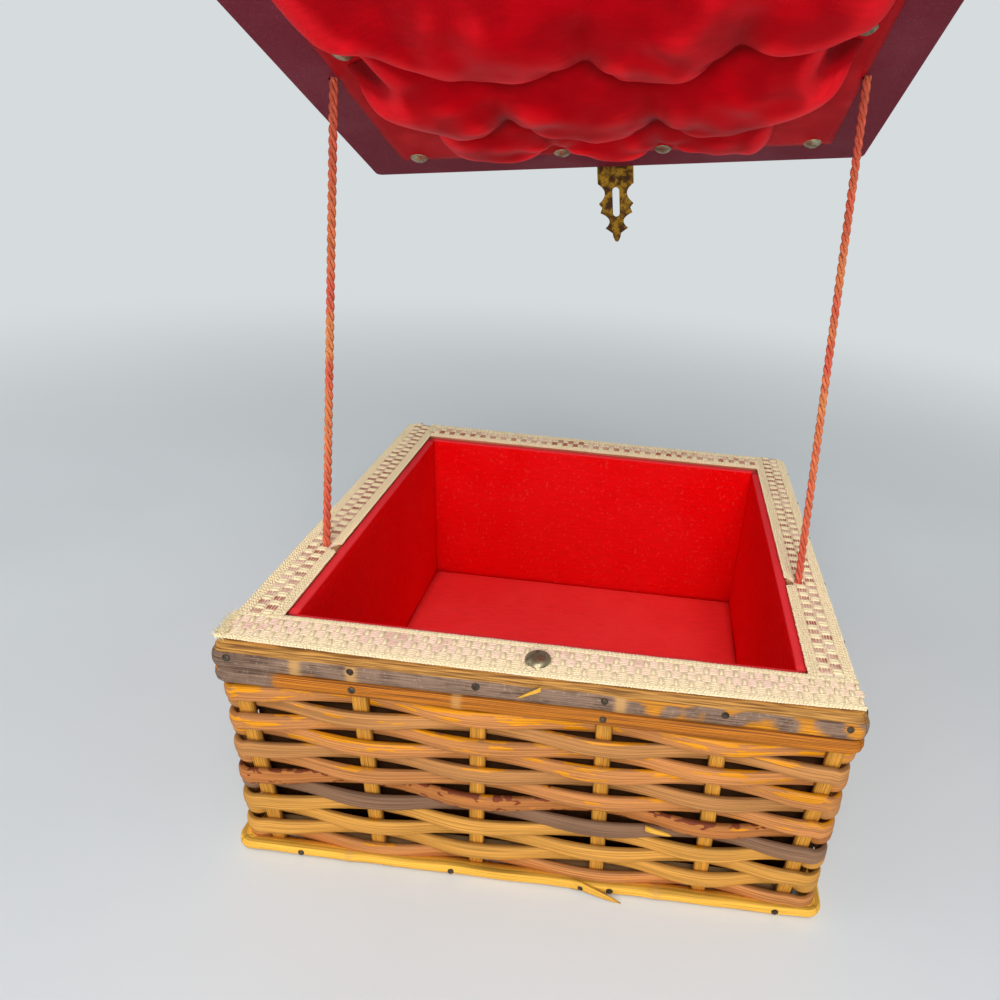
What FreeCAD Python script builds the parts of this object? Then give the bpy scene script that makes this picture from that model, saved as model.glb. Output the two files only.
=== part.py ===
"""Square wicker sewing box with a lined inside and a loose lid held on two cords.

Units are millimetres and +Z is up. The origin is the centre of the base board's
underside. The side shown nearest in the photograph is -Y; the lid's hasp and its
staple belong to the +Y side. The lid is modelled in the photographed place: lifted
off, tilted towards the hasp, with both cords taut.
"""
import FreeCAD, Part
import math
import os

from FreeCAD import Placement, Rotation, Vector

# Overall sizes
box_width = 270.0
box_depth = 270.0
rim_height = 120.5
base_gap = 2.0

# Clearances and overruns
fit_gap = 0.1
loose_gap = 0.3
rest_gap = 0.4
pin_gap = 0.05
cut_overrun = 1.0

# Floor panel on the base board
floor_panel_thickness = 3.7
floor_panel_gap = 0.2

# Woven walls and the flat stakes they are woven round
weave_inset = 0.8
weave_thickness = 12.0
weave_corner_share = 0.833
stake_width = 7.0
stake_thickness = 3.0
stake_top_drop = 2.0
long_end_stake_inset = 14.85
side_end_stake_inset = 18.9
middle_stake_shares = (-0.262, -0.09, 0.124, 0.303)

# Half-round cane bands outside the stakes
band_thickness = 5.0
band_shoulder_share = 0.72
rim_band_height = 12.0
under_band_height = 9.3
bottom_band_height = 8.8

# Wooden rails behind the rim bands
rail_thickness = 12.0

# Nails through the bands
nail_head_radius = 1.7
nail_head_height = 0.8
nail_shank_radius = 0.7
nail_length = 14.0
under_nail_places = (1, 3)
bottom_nail_shares = (-0.396, -0.129, 0.099, 0.149, 0.434)

# Woven braid on top of the rim
braid_thickness = 1.5
braid_width = 20.0
braid_outer_inset = 0.6
near_braid_inset = 1.2
braid_corner_radius = 7.0

# Dome stud in the middle of the near rim
stud_head_radius = 5.5
stud_head_height = 3.0
stud_shank_radius = 1.2
stud_shank_length = 10.0
stud_inset = 9.6

# Fabric-wrapped lining panels
lining_thickness = 4.8
lining_top_drop = 1.0

# Lid board and its photographed place, measured from the top of the braid
lid_overhang = 4.0
lid_thickness = 9.0
lid_corner_radius = 3.0
lid_rise = 235.2
lid_setback = -31.2
lid_sideways = -1.3
lid_tilt_deg = 24.0
lid_tilt_heading_deg = 15.65

# Flat cloth and tufted padding under the lid
lid_cloth_margin = 22.5
lid_cloth_thickness = 0.8
pad_side_inset = 16.0
pad_end_inset = 12.5
pad_crown = 25.0
pad_edge = 6.0
pad_groove_share = 0.45
pad_lean_share = 0.22
pad_swag_share = 0.35
pad_row_shares = (-1.0, -0.6, -0.2, 0.2, 0.6, 1.0)
pad_station_shares = (-1.0, -0.88, -0.68, -0.5, -0.32, -0.1, 0.12, 0.32, 0.5, 0.68, 0.88, 1.0)
pad_swell_shares = (0.3, 0.72, 1.0, 0.76, 1.0, 1.0, 0.74, 1.0, 0.78, 1.0, 0.72, 0.3)

# Dome tacks through the cloth
tack_head_radius = 4.7
tack_head_height = 2.2
tack_shank_radius = 0.8
tack_shank_length = 6.0
tack_end_inset = 3.0
tack_side_inset = 10.5
tack_inner_share = 0.2318
tack_middle_row = 8.0

# Cords and the stopper knots at their lid ends
cord_diameter = 4.0
cord_rim_inset = 14.5
cord_rim_depth = 9.0
left_cord_rim_y = -52.4
right_cord_rim_y = -38.3
cord_cloth_outset = 1.5
left_cord_lid_row = 29.0
right_cord_lid_row = 48.3
knot_radius = 3.2
knot_bore_gap = 1.1
knot_floor = 2.5

# Hasp with its plate, pin and staple
hasp_thickness = 1.2
hasp_half_width = 10.45
hasp_length = 48.2
hasp_hang_deg = 23.3
hasp_top_share = 0.05
hasp_slot_width = 4.1
hasp_slot_length = 16.1
hasp_slot_centre = 25.4
hasp_plate_length = 18.0
knuckle_radius = 2.0
knuckle_length = 6.6
hasp_pin_radius = 0.9
hasp_edge_gap = 0.4
plate_nail_column = 6.0
plate_nail_row = 10.0
plate_nail_length = 6.0
staple_side_gap = 0.8
staple_end_gap = 2.8
staple_leg_depth = 10.0
staple_reach = 5.0

# Share of a unit direction past which an edge counts as upright, and the record's unit
upright_share = 0.5
mm_per_metre = 1000

# Worked-out levels and depths of the box, up from the underside and in from the outer face
half_width = box_width / 2
half_depth = box_depth / 2
board_top = base_gap + bottom_band_height
weave_inner = weave_inset + weave_thickness
under_band_base = rim_height - rim_band_height - under_band_height
rim_band_base = rim_height - rim_band_height
braid_top = rim_height + braid_thickness
stake_outer = band_thickness
rail_outer = stake_outer + stake_thickness
rail_inner = rail_outer + rail_thickness
lining_outer = rail_inner + fit_gap
lining_inner = lining_outer + lining_thickness
closed_lid_base = braid_top + stud_head_height + rest_gap

# Worked-out sizes of the lid, its cloth, padding, tacks and cord places, and of the staple
lid_width = box_width + 2 * lid_overhang
lid_depth = box_depth + 2 * lid_overhang
cloth_half_width = lid_width / 2 - lid_cloth_margin
cloth_half_depth = lid_depth / 2 - lid_cloth_margin
pad_width = 2 * (cloth_half_width - pad_side_inset)
pad_depth = 2 * (cloth_half_depth - pad_end_inset)
tack_outer_column = cloth_half_width - tack_side_inset
tack_inner_column = tack_inner_share * cloth_half_width
tack_end_row = cloth_half_depth - tack_end_inset
cord_lid_column = cloth_half_width + cord_cloth_outset
knot_bore_radius = knot_radius + knot_bore_gap
staple_wire_radius = hasp_slot_width / 2 - staple_side_gap
staple_leg_spacing = hasp_slot_length - 2 * (staple_wire_radius + staple_end_gap)

X_AXIS = Vector(1, 0, 0)
Y_AXIS = Vector(0, 1, 0)
Z_AXIS = Vector(0, 0, 1)

# Each side: length, distance from the centre, turn about Z, whether it runs the full length
SIDES = {
    "near": (box_width, half_depth, 0, True),
    "right": (box_depth, half_width, 90, False),
    "far": (box_width, half_depth, 180, True),
    "left": (box_depth, half_width, 270, False),
}


def block(low, high):
    """A box between two corners."""
    size = high - low
    return Part.makeBox(size.x, size.y, size.z, low)


def upright_edges(shape):
    """The edges of a shape that run up and down."""
    return [
        edge
        for edge in shape.Edges
        if abs(edge.tangentAt(edge.FirstParameter).z) > upright_share
    ]


def to_side(shape, side):
    """Moves a piece made with its outer face at y = 0, facing -Y, to a side of the box."""
    distance, turn = SIDES[side][1], SIDES[side][2]
    placed = shape.copy()
    placed.translate(Vector(0, -distance, 0))
    placed.rotate(Vector(0, 0, 0), Z_AXIS, turn)
    return placed


def run_length(side, end_inset):
    """Length of a strip on a side; the short sides stop end_inset from both outer faces."""
    length, full = SIDES[side][0], SIDES[side][3]
    return length if full else length - 2 * end_inset


def stake_places(side):
    """Places of the stakes along a side, from its middle."""
    length, full = SIDES[side][0], SIDES[side][3]
    end = length / 2 - (long_end_stake_inset if full else side_end_stake_inset)
    return [-end] + [share * length for share in middle_stake_shares] + [end]


def side_slab(length, outer, inner, base, top):
    """A flat slab along X between two depths behind the outer face."""
    return block(Vector(-length / 2, outer, base), Vector(length / 2, inner, top))


def cane_band(length, base, height):
    """A half-round strip along X with its flat back towards the stakes."""
    start = -length / 2
    shoulder = band_shoulder_share * band_thickness
    low_back = Vector(start, band_thickness, base)
    high_back = Vector(start, band_thickness, base + height)
    high_front = Vector(start, shoulder, base + height)
    low_front = Vector(start, shoulder, base)
    front = Vector(start, 0, base + height / 2)
    outline = [
        Part.makeLine(low_back, high_back),
        Part.makeLine(high_back, high_front),
        Part.Arc(high_front, front, low_front).toShape(),
        Part.makeLine(low_front, low_back),
    ]
    return Part.Face(Part.Wire(outline)).extrude(X_AXIS * length)


def dome(radius, height):
    """A dome head, a cap of a sphere, whose flat base lies at z = 0 and whose crown points up."""
    ball_radius = (radius**2 + height**2) / (2 * height)
    centre = Vector(0, 0, height - ball_radius)
    base_latitude = math.degrees(math.asin((ball_radius - height) / ball_radius))
    return Part.makeSphere(ball_radius, centre, Z_AXIS, base_latitude, 90, 360)


def dome_nail(head_radius, head_height, shank_radius, shank_length):
    """A dome head at z = 0 with its shank pointing down."""
    shank = Part.makeCylinder(shank_radius, shank_length, Vector(0, 0, 0), -Z_AXIS)
    return dome(head_radius, head_height).fuse(shank).removeSplitter()


def band_nail(place, level):
    """A nail driven into a band from outside, at a place along the side."""
    nail = dome_nail(nail_head_radius, nail_head_height, nail_shank_radius, nail_length)
    nail.rotate(Vector(0, 0, 0), X_AXIS, 90)
    nail.translate(Vector(place, 0, level))
    return nail


def band_nail_hole(place, level):
    """The clearance hole of such a nail."""
    start = Vector(place, -cut_overrun, level)
    length = nail_length + cut_overrun + fit_gap
    return Part.makeCylinder(nail_shank_radius + pin_gap, length, start, Y_AXIS)


rim_nail_level = rim_band_base + rim_band_height / 2
under_nail_level = under_band_base + under_band_height / 2
bottom_nail_level = base_gap + bottom_band_height / 2


def rim_nail_spots(side):
    """Places and level of the rim band's nails, one through each stake."""
    return [(place, rim_nail_level) for place in stake_places(side)]


def under_nail_spots(side):
    """Places and level of the second band's nails, through two of the stakes."""
    places = stake_places(side)
    return [(places[index], under_nail_level) for index in under_nail_places]


def bottom_nail_spots(side):
    """Places and level of the bottom band's nails."""
    return [(share * SIDES[side][0], bottom_nail_level) for share in bottom_nail_shares]


def nail_holes(side):
    """All nail holes of one side, in the side's own place."""
    spots = rim_nail_spots(side) + under_nail_spots(side) + bottom_nail_spots(side)
    return Part.makeCompound([band_nail_hole(*spot) for spot in spots])


def all_nail_holes():
    """The nail holes of all four sides."""
    return Part.makeCompound([to_side(nail_holes(side), side) for side in SIDES])


# Place of the lid: level and centred when closed, as photographed at rest
tilt_axis = Rotation(Z_AXIS, lid_tilt_heading_deg).multVec(X_AXIS)
lid_turn = Rotation(tilt_axis, -lid_tilt_deg)
lid_place = Placement(Vector(lid_sideways, lid_setback, braid_top + lid_rise), lid_turn)
lid_closed = Placement(Vector(0, 0, closed_lid_base), Rotation())
hasp_pin_centre = Vector(
    0,
    lid_depth / 2 + hasp_edge_gap + knuckle_radius,
    lid_thickness + hasp_thickness - knuckle_radius,
)
knot_level = knot_floor + loose_gap + knot_radius
left_knot_place = Vector(-cord_lid_column, left_cord_lid_row, knot_level)
right_knot_place = Vector(cord_lid_column, right_cord_lid_row, knot_level)


def on_lid(shape):
    """Moves a piece made on the level lid, underside at z = 0, to the photographed place."""
    placed = shape.copy()
    placed.Placement = lid_place.multiply(placed.Placement)
    return placed


def cord_ends(side):
    """Lower and upper end of a cord's straight run, from inside the rail to its knot."""
    sign = -1 if side == "left" else 1
    rim_y = left_cord_rim_y if side == "left" else right_cord_rim_y
    knot = left_knot_place if side == "left" else right_knot_place
    at_rim = Vector(sign * (half_width - cord_rim_inset), rim_y, rim_height)
    knot_centre = lid_place.multVec(knot)
    direction = (knot_centre - at_rim).normalize()
    low = at_rim - direction * cord_rim_depth
    high = knot_centre - direction * (knot_radius + loose_gap)
    return low, high, direction


def cord_tube(side, radius, overrun):
    """A straight round bar along a cord's run, lengthened by an overrun at both ends."""
    low, high, direction = cord_ends(side)
    length = (high - low).Length + 2 * overrun
    return Part.makeCylinder(radius, length, low - direction * overrun, direction)


def cord_hole(side):
    """The clearance round a cord along its whole run."""
    return cord_tube(side, cord_diameter / 2 + loose_gap, cut_overrun)


def cord_hole_in_lid(side):
    """The same clearance as it lies on the level lid."""
    hole = cord_hole(side)
    hole.Placement = lid_place.inverse().multiply(hole.Placement)
    return hole


# Box pieces
def make_base_board():
    """The wooden board that the box stands on, up to the inner face of the stakes."""
    low = Vector(rail_outer - half_width, rail_outer - half_depth, 0)
    high = Vector(half_width - rail_outer, half_depth - rail_outer, board_top)
    return block(low, high).cut(all_nail_holes())


def make_wall(side):
    """One woven side, with the channels that its stakes run through."""
    full = SIDES[side][3]
    trim = weave_inset if full else weave_inner + fit_gap
    length = SIDES[side][0] - 2 * trim
    wall = side_slab(length, weave_inset, weave_inner, board_top, under_band_base)
    if full:
        outer_limit = weave_inset + fit_gap
        corners = [edge for edge in upright_edges(wall) if edge.CenterOfMass.y < outer_limit]
        wall = wall.makeFillet(weave_corner_share * weave_thickness, corners)
    for place in stake_places(side):
        low = Vector(
            place - stake_width / 2 - fit_gap, stake_outer - fit_gap, board_top - cut_overrun
        )
        high = Vector(
            place + stake_width / 2 + fit_gap, rail_outer + fit_gap, under_band_base + cut_overrun
        )
        wall = wall.cut(block(low, high))
    return to_side(wall, side)


def make_stakes(side):
    """The flat upright stakes of one side, each drilled for its nails."""
    holes = nail_holes(side)
    stakes = []
    for place in stake_places(side):
        low = Vector(place - stake_width / 2, stake_outer, base_gap)
        high = Vector(place + stake_width / 2, rail_outer, rim_height - stake_top_drop)
        stakes.append(to_side(block(low, high).cut(holes), side))
    return Part.makeCompound(stakes)


def make_band(side, base, height):
    """One cane band of a side, drilled for its nails and, on the far side, for the staple."""
    band = cane_band(run_length(side, band_thickness), base, height).cut(nail_holes(side))
    placed = to_side(band, side)
    if side == "far":
        placed = placed.cut(staple_holes())
    return placed


def make_rail(side):
    """The wooden rail behind the rim bands of one side."""
    length = SIDES[side][0] - 2 * (rail_outer if SIDES[side][3] else rail_inner)
    rail = side_slab(length, rail_outer, rail_inner, under_band_base, rim_height)
    placed = to_side(rail, side).cut(all_nail_holes())
    if side in ("left", "right"):
        placed = placed.cut(cord_hole(side))
    if side == "near":
        placed = placed.cut(stud_hole())
    if side == "far":
        placed = placed.cut(staple_holes())
    return placed


def make_nails(spots_of_side):
    """The nails of one band on all four sides."""
    nails = []
    for side in SIDES:
        nails += [to_side(band_nail(*spot), side) for spot in spots_of_side(side)]
    return Part.makeCompound(nails)


def make_lining(side):
    """One fabric-wrapped card panel standing on the base board."""
    inset = lining_outer if SIDES[side][3] else lining_inner + fit_gap
    length = SIDES[side][0] - 2 * inset
    top = rim_height - lining_top_drop
    return to_side(side_slab(length, lining_outer, lining_inner, board_top, top), side)


def make_floor_panel():
    """The fabric-wrapped panel that lies on the base board between the linings."""
    inset = lining_inner + floor_panel_gap
    low = Vector(inset - half_width, inset - half_depth, board_top)
    high = Vector(half_width - inset, half_depth - inset, board_top + floor_panel_thickness)
    return block(low, high)


def make_near_braid():
    """The separate length of braid along the near rim."""
    length = box_width - 2 * braid_outer_inset
    braid = side_slab(length, near_braid_inset, braid_width, rim_height, braid_top)
    return to_side(braid, "near").cut(stud_hole())


def make_surround_braid():
    """The braid round the left, far and right rims, notched where the cords come up."""
    outer_x = half_width - braid_outer_inset
    outer_y = half_depth - braid_outer_inset
    inner_x = half_width - braid_width
    inner_y = half_depth - braid_width
    near_end = braid_width + fit_gap - half_depth
    plate = block(Vector(-outer_x, near_end, rim_height), Vector(outer_x, outer_y, braid_top))
    corners = [edge for edge in upright_edges(plate) if edge.CenterOfMass.y > 0]
    plate = plate.makeFillet(braid_corner_radius, corners)
    low = Vector(-inner_x, near_end - cut_overrun, rim_height - cut_overrun)
    high = Vector(inner_x, inner_y, braid_top + cut_overrun)
    braid = plate.cut(block(low, high))
    notch_half = cord_diameter / 2 + loose_gap
    for side in ("left", "right"):
        sign = -1 if side == "left" else 1
        rim_y = left_cord_rim_y if side == "left" else right_cord_rim_y
        ends = (sign * (half_width - cord_rim_inset), sign * (inner_x - cut_overrun))
        low = Vector(min(ends), rim_y - notch_half, rim_height - cut_overrun)
        high = Vector(max(ends), rim_y + notch_half + loose_gap, braid_top + cut_overrun)
        braid = braid.cut(block(low, high)).cut(cord_hole(side))
    return braid


def stud_seat():
    """The point where the stud's head meets the braid."""
    return Vector(0, stud_inset - half_depth, braid_top)


def make_stud():
    """The dome stud in the middle of the near rim."""
    stud = dome_nail(stud_head_radius, stud_head_height, stud_shank_radius, stud_shank_length)
    stud.translate(stud_seat())
    return stud


def stud_hole():
    """The clearance hole of the stud's shank."""
    start = stud_seat() + Z_AXIS * cut_overrun
    length = stud_shank_length + cut_overrun + fit_gap
    return Part.makeCylinder(stud_shank_radius + pin_gap, length, start, -Z_AXIS)


def staple_level():
    """Height of the hasp slot's middle when the lid is closed and the hasp hangs straight."""
    return closed_lid_base + hasp_pin_centre.z - hasp_slot_centre


def staple_leg_levels():
    """Heights of the staple's two legs."""
    return [staple_level() + sign * staple_leg_spacing / 2 for sign in (-1, 1)]


def staple_bend_y():
    """Where the staple's legs turn into its bend, clear of the hanging hasp."""
    return hasp_pin_centre.y + hasp_thickness / 2 + staple_reach - staple_leg_spacing / 2


def make_staple():
    """The bent wire on the far rim that the hasp drops over."""
    low, high = staple_leg_levels()
    back = half_depth - staple_leg_depth
    bend = staple_bend_y()
    crown = Vector(0, bend + staple_leg_spacing / 2, staple_level())
    path = Part.Wire(
        [
            Part.makeLine(Vector(0, back, low), Vector(0, bend, low)),
            Part.Arc(Vector(0, bend, low), crown, Vector(0, bend, high)).toShape(),
            Part.makeLine(Vector(0, bend, high), Vector(0, back, high)),
        ]
    )
    section = Part.Wire(Part.makeCircle(staple_wire_radius, Vector(0, back, low), Y_AXIS))
    return path.makePipeShell([section], True, False)


def staple_holes():
    """The clearance holes of the staple's legs in the far bands and rail."""
    radius = staple_wire_radius + pin_gap
    start = half_depth - staple_leg_depth - fit_gap
    length = staple_leg_depth + fit_gap + cut_overrun
    legs = [
        Part.makeCylinder(radius, length, Vector(0, start, level), Y_AXIS)
        for level in staple_leg_levels()
    ]
    return Part.makeCompound(legs)


def make_cord(side):
    """A taut cord from inside the rim rail to the knot in the lid."""
    tube = cord_tube(side, cord_diameter / 2, 0)
    low, high, _ = cord_ends(side)
    run = (high - low).Length
    section = math.pi * cord_diameter**2 / 4
    print(f"cord_{side}: one straight run of {run:.1f} mm, no bends,"
          f" volume {tube.Volume:.1f} against {section * run:.1f} mm3")
    return tube


# Lid pieces, made level with the lid's underside at z = 0
def tack_spots():
    """Places of the dome tacks: four along both ends of the cloth and two at its sides."""
    columns = (-tack_outer_column, -tack_inner_column, tack_inner_column, tack_outer_column)
    rows = (-tack_end_row, tack_end_row)
    ends = [Vector(column, row, 0) for row in rows for column in columns]
    sides = [Vector(sign * tack_outer_column, tack_middle_row, 0) for sign in (-1, 1)]
    return ends + sides


def tack_holes():
    """The clearance holes of the tacks in the cloth and the board."""
    radius = tack_shank_radius + pin_gap
    length = tack_shank_length + cut_overrun
    holes = [
        Part.makeCylinder(radius, length, spot - Z_AXIS * cut_overrun, Z_AXIS)
        for spot in tack_spots()
    ]
    return Part.makeCompound(holes)


def plate_nail_spots():
    """Places of the hasp plate's nails on top of the lid."""
    row = lid_depth / 2 - plate_nail_row
    level = lid_thickness + hasp_thickness
    return [Vector(sign * plate_nail_column, row, level) for sign in (-1, 1)]


def plate_nail_holes():
    """The clearance holes of the plate's nails."""
    radius = nail_shank_radius + pin_gap
    length = plate_nail_length + cut_overrun + fit_gap
    holes = [
        Part.makeCylinder(radius, length, spot + Z_AXIS * cut_overrun, -Z_AXIS)
        for spot in plate_nail_spots()
    ]
    return Part.makeCompound(holes)


def make_lid_board():
    """The lid's board, bored for the cords, their knots, the tacks and the plate's nails."""
    low = Vector(-lid_width / 2, -lid_depth / 2, 0)
    high = Vector(lid_width / 2, lid_depth / 2, lid_thickness)
    board = block(low, high)
    board = board.makeFillet(lid_corner_radius, upright_edges(board))
    for side, knot in (("left", left_knot_place), ("right", right_knot_place)):
        bore_base = Vector(knot.x, knot.y, knot_floor)
        board = board.cut(
            Part.makeCylinder(knot_bore_radius, lid_thickness, bore_base, Z_AXIS)
        )
        board = board.cut(cord_hole_in_lid(side))
    return on_lid(board.cut(tack_holes()).cut(plate_nail_holes()))


def make_lid_cloth():
    """The flat cloth tacked to the lid's underside."""
    low = Vector(-cloth_half_width, -cloth_half_depth, -lid_cloth_thickness)
    cloth = block(low, Vector(cloth_half_width, cloth_half_depth, 0))
    for side in ("left", "right"):
        cloth = cloth.cut(cord_hole_in_lid(side))
    return on_lid(cloth.cut(tack_holes()))


def pad_section(station_share, swell_share):
    """One cross-section of the padding: rows of bulges between drawn-in channels."""
    x = station_share * pad_width / 2
    top = -lid_cloth_thickness - fit_gap
    channel = top - pad_crown * pad_groove_share * swell_share
    crown = top - pad_crown * swell_share
    edge = top - pad_edge * swell_share
    pitch = pad_depth / (len(pad_row_shares) - 1)
    swag = pad_swag_share * pitch * (1 - station_share**2)
    last = len(pad_row_shares) - 1
    points = []
    for index, share in enumerate(pad_row_shares):
        inside = 0 < index < last
        shift = swag if inside else 0
        level = channel if inside else edge
        points.append(Vector(x, share * pad_depth / 2 + shift, level))
    edges = [Part.makeLine(Vector(x, points[0].y, top), points[0])]
    for start, end in zip(points, points[1:]):
        lean = pad_lean_share * (end.y - start.y)
        bulge = Vector(x, (start.y + end.y) / 2 + lean, crown)
        edges.append(Part.Arc(start, bulge, end).toShape())
    edges.append(Part.makeLine(points[-1], Vector(x, points[-1].y, top)))
    edges.append(Part.makeLine(Vector(x, points[-1].y, top), Vector(x, points[0].y, top)))
    return Part.Wire(edges)


def make_lid_padding():
    """The tufted padding: rows that hang in swags, drawn in at the tufts and the sides."""
    shares = zip(pad_station_shares, pad_swell_shares)
    sections = [pad_section(station, swell) for station, swell in shares]
    return on_lid(Part.makeLoft(sections, True, False))


def make_lid_tacks():
    """The dome tacks, heads down under the cloth."""
    tacks = []
    for spot in tack_spots():
        tack = dome_nail(
            tack_head_radius, tack_head_height, tack_shank_radius, tack_shank_length
        )
        tack.rotate(Vector(0, 0, 0), X_AXIS, 180)
        tack.translate(spot - Z_AXIS * lid_cloth_thickness)
        tacks.append(on_lid(tack))
    return Part.makeCompound(tacks)


def make_knot(place):
    """The stopper knot of a cord in its bore in the lid."""
    knot = Part.makeSphere(knot_radius)
    knot.translate(place)
    return on_lid(knot)


def knuckle(start_x, length):
    """A hinge barrel on the hasp's pin, without its bore."""
    start = Vector(start_x, hasp_pin_centre.y, hasp_pin_centre.z)
    return Part.makeCylinder(knuckle_radius, length, start, X_AXIS)


def pin_bore():
    """The running bore through all three barrels."""
    start = Vector(-hasp_half_width - cut_overrun, hasp_pin_centre.y, hasp_pin_centre.z)
    length = 2 * (hasp_half_width + cut_overrun)
    return Part.makeCylinder(hasp_pin_radius + pin_gap, length, start, X_AXIS)


def make_hasp_plate():
    """The fixed plate on top of the lid, with the two outer barrels of the hinge."""
    plate_base = lid_thickness
    low = Vector(-hasp_half_width, lid_depth / 2 - hasp_plate_length, plate_base)
    high = Vector(hasp_half_width, lid_depth / 2, plate_base + hasp_thickness)
    plate = block(low, high)
    middle = knuckle_length / 2 + loose_gap
    outer_length = hasp_half_width - middle
    for start_x in (-hasp_half_width, middle):
        web_low = Vector(start_x, lid_depth / 2, plate_base)
        web_high = Vector(
            start_x + outer_length, hasp_pin_centre.y, plate_base + hasp_thickness
        )
        plate = plate.fuse(block(web_low, web_high)).fuse(knuckle(start_x, outer_length))
    plate = plate.removeSplitter().cut(pin_bore()).cut(plate_nail_holes())
    return on_lid(plate)


def make_hasp_pin():
    """The hinge pin through the barrels."""
    start = Vector(-hasp_half_width, hasp_pin_centre.y, hasp_pin_centre.z)
    return on_lid(Part.makeCylinder(hasp_pin_radius, 2 * hasp_half_width, start, X_AXIS))


def make_plate_nails():
    """The two nails that hold the hasp's plate to the lid."""
    nails = []
    for spot in plate_nail_spots():
        nail = dome_nail(nail_head_radius, nail_head_height, nail_shank_radius, plate_nail_length)
        nail.translate(spot)
        nails.append(on_lid(nail))
    return Part.makeCompound(nails)


def hasp_outline():
    """The hasp's cut outline, hanging straight down from the pin."""

    def point(half_share, length_share, sign):
        return Vector(
            sign * half_share * hasp_half_width,
            hasp_pin_centre.y,
            hasp_pin_centre.z - length_share * hasp_length,
        )

    shoulder_shares = (1.0, 0.32)
    neck_shares = (0.62, 0.427)
    lug_shares = (0.97, 0.544)
    notch_shares = (0.79, 0.592)
    spur_shares = (0.9, 0.65)
    waist_shares = (0.41, 0.733)
    ear_shares = (0.64, 0.827)
    stem_shares = (0.24, 0.885)
    top_shares = (1.0, hasp_top_share)
    tip = point(0, 1, 1)

    def half(sign):
        top, shoulder, neck, lug, notch, spur, waist, ear, stem = [
            point(*shares, sign)
            for shares in (
                top_shares, shoulder_shares, neck_shares, lug_shares, notch_shares,
                spur_shares, waist_shares, ear_shares, stem_shares,
            )
        ]
        return [
            Part.makeLine(top, shoulder),
            Part.Arc(shoulder, neck, lug).toShape(),
            Part.makeLine(lug, notch),
            Part.makeLine(notch, spur),
            Part.Arc(spur, waist, ear).toShape(),
            Part.makeLine(ear, stem),
            Part.makeLine(stem, tip),
        ]

    across = Part.makeLine(point(*top_shares, -1), point(*top_shares, 1))
    return Part.Wire(Part.__sortEdges__(half(1) + half(-1) + [across]))


def make_hasp_leaf():
    """The slotted hasp with its middle barrel, hanging as photographed."""
    leaf = Part.Face(hasp_outline()).extrude(Y_AXIS * hasp_thickness)
    leaf.translate(Y_AXIS * (-hasp_thickness / 2))
    gap = knuckle_radius + loose_gap
    for start_x, end_x in (
        (-hasp_half_width - cut_overrun, -knuckle_length / 2),
        (knuckle_length / 2, hasp_half_width + cut_overrun),
    ):
        low = Vector(start_x, hasp_pin_centre.y - gap, hasp_pin_centre.z - gap)
        high = Vector(end_x, hasp_pin_centre.y + gap, hasp_pin_centre.z + gap)
        leaf = leaf.cut(block(low, high))
    leaf = leaf.fuse(knuckle(-knuckle_length / 2, knuckle_length)).cut(pin_bore())
    round_radius = hasp_slot_width / 2
    depth = 2 * cut_overrun + hasp_thickness
    start_y = hasp_pin_centre.y - depth / 2
    middle = hasp_pin_centre.z - hasp_slot_centre
    straight = hasp_slot_length / 2 - round_radius
    slot = block(
        Vector(-round_radius, start_y, middle - straight),
        Vector(round_radius, start_y + depth, middle + straight),
    )
    for sign in (-1, 1):
        end = Vector(0, start_y, middle + sign * straight)
        slot = slot.fuse(Part.makeCylinder(round_radius, depth, end, Y_AXIS))
    leaf = leaf.cut(slot).removeSplitter()
    leaf.rotate(hasp_pin_centre, X_AXIS, hasp_hang_deg)
    return on_lid(leaf)


def collect_nodes():
    """Every node of the part by name."""
    nodes = {"base_board": make_base_board()}
    for side in SIDES:
        nodes[f"woven_wall_{side}"] = make_wall(side)
        nodes[f"stakes_{side}"] = make_stakes(side)
        nodes[f"rim_band_{side}"] = make_band(side, rim_band_base, rim_band_height)
        nodes[f"under_band_{side}"] = make_band(side, under_band_base, under_band_height)
        nodes[f"bottom_band_{side}"] = make_band(side, base_gap, bottom_band_height)
        nodes[f"rim_rail_{side}"] = make_rail(side)
        nodes[f"lining_{side}"] = make_lining(side)
    nodes["rim_band_nails"] = make_nails(rim_nail_spots)
    nodes["under_band_nails"] = make_nails(under_nail_spots)
    nodes["bottom_band_nails"] = make_nails(bottom_nail_spots)
    nodes["floor_panel"] = make_floor_panel()
    nodes["braid_near"] = make_near_braid()
    nodes["braid_surround"] = make_surround_braid()
    nodes["rim_stud"] = make_stud()
    nodes["hasp_staple"] = make_staple()
    nodes["cord_left"] = make_cord("left")
    nodes["cord_right"] = make_cord("right")
    nodes["cord_knot_left"] = make_knot(left_knot_place)
    nodes["cord_knot_right"] = make_knot(right_knot_place)
    nodes["lid_board"] = make_lid_board()
    nodes["lid_cloth"] = make_lid_cloth()
    nodes["lid_padding"] = make_lid_padding()
    nodes["lid_tacks"] = make_lid_tacks()
    nodes["hasp_plate"] = make_hasp_plate()
    nodes["hasp_plate_nails"] = make_plate_nails()
    nodes["hasp_pin"] = make_hasp_pin()
    nodes["hasp_leaf"] = make_hasp_leaf()
    return nodes


def print_joints():
    """Prints the joint frames, in metres, for the record."""
    rest = lid_place.multVec(left_knot_place)
    closed = lid_closed.multVec(left_knot_place)
    lift = rest - closed
    pin = lid_place.multVec(hasp_pin_centre)
    hinge = lid_turn.multVec(X_AXIS)
    frames = (
        ("lid_lift", rest, lift / lift.Length),
        ("lid_tilt", rest, tilt_axis),
        ("hasp_swing", pin, hinge),
    )
    for name, place, axis in frames:
        metres = [round(value / mm_per_metre, 6) for value in place]
        print(name, metres, [round(value, 6) for value in axis])
    print("lid_lift travel", round(lift.Length / mm_per_metre, 6))
    print("closed lid base", closed_lid_base, "staple level", staple_level())


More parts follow.
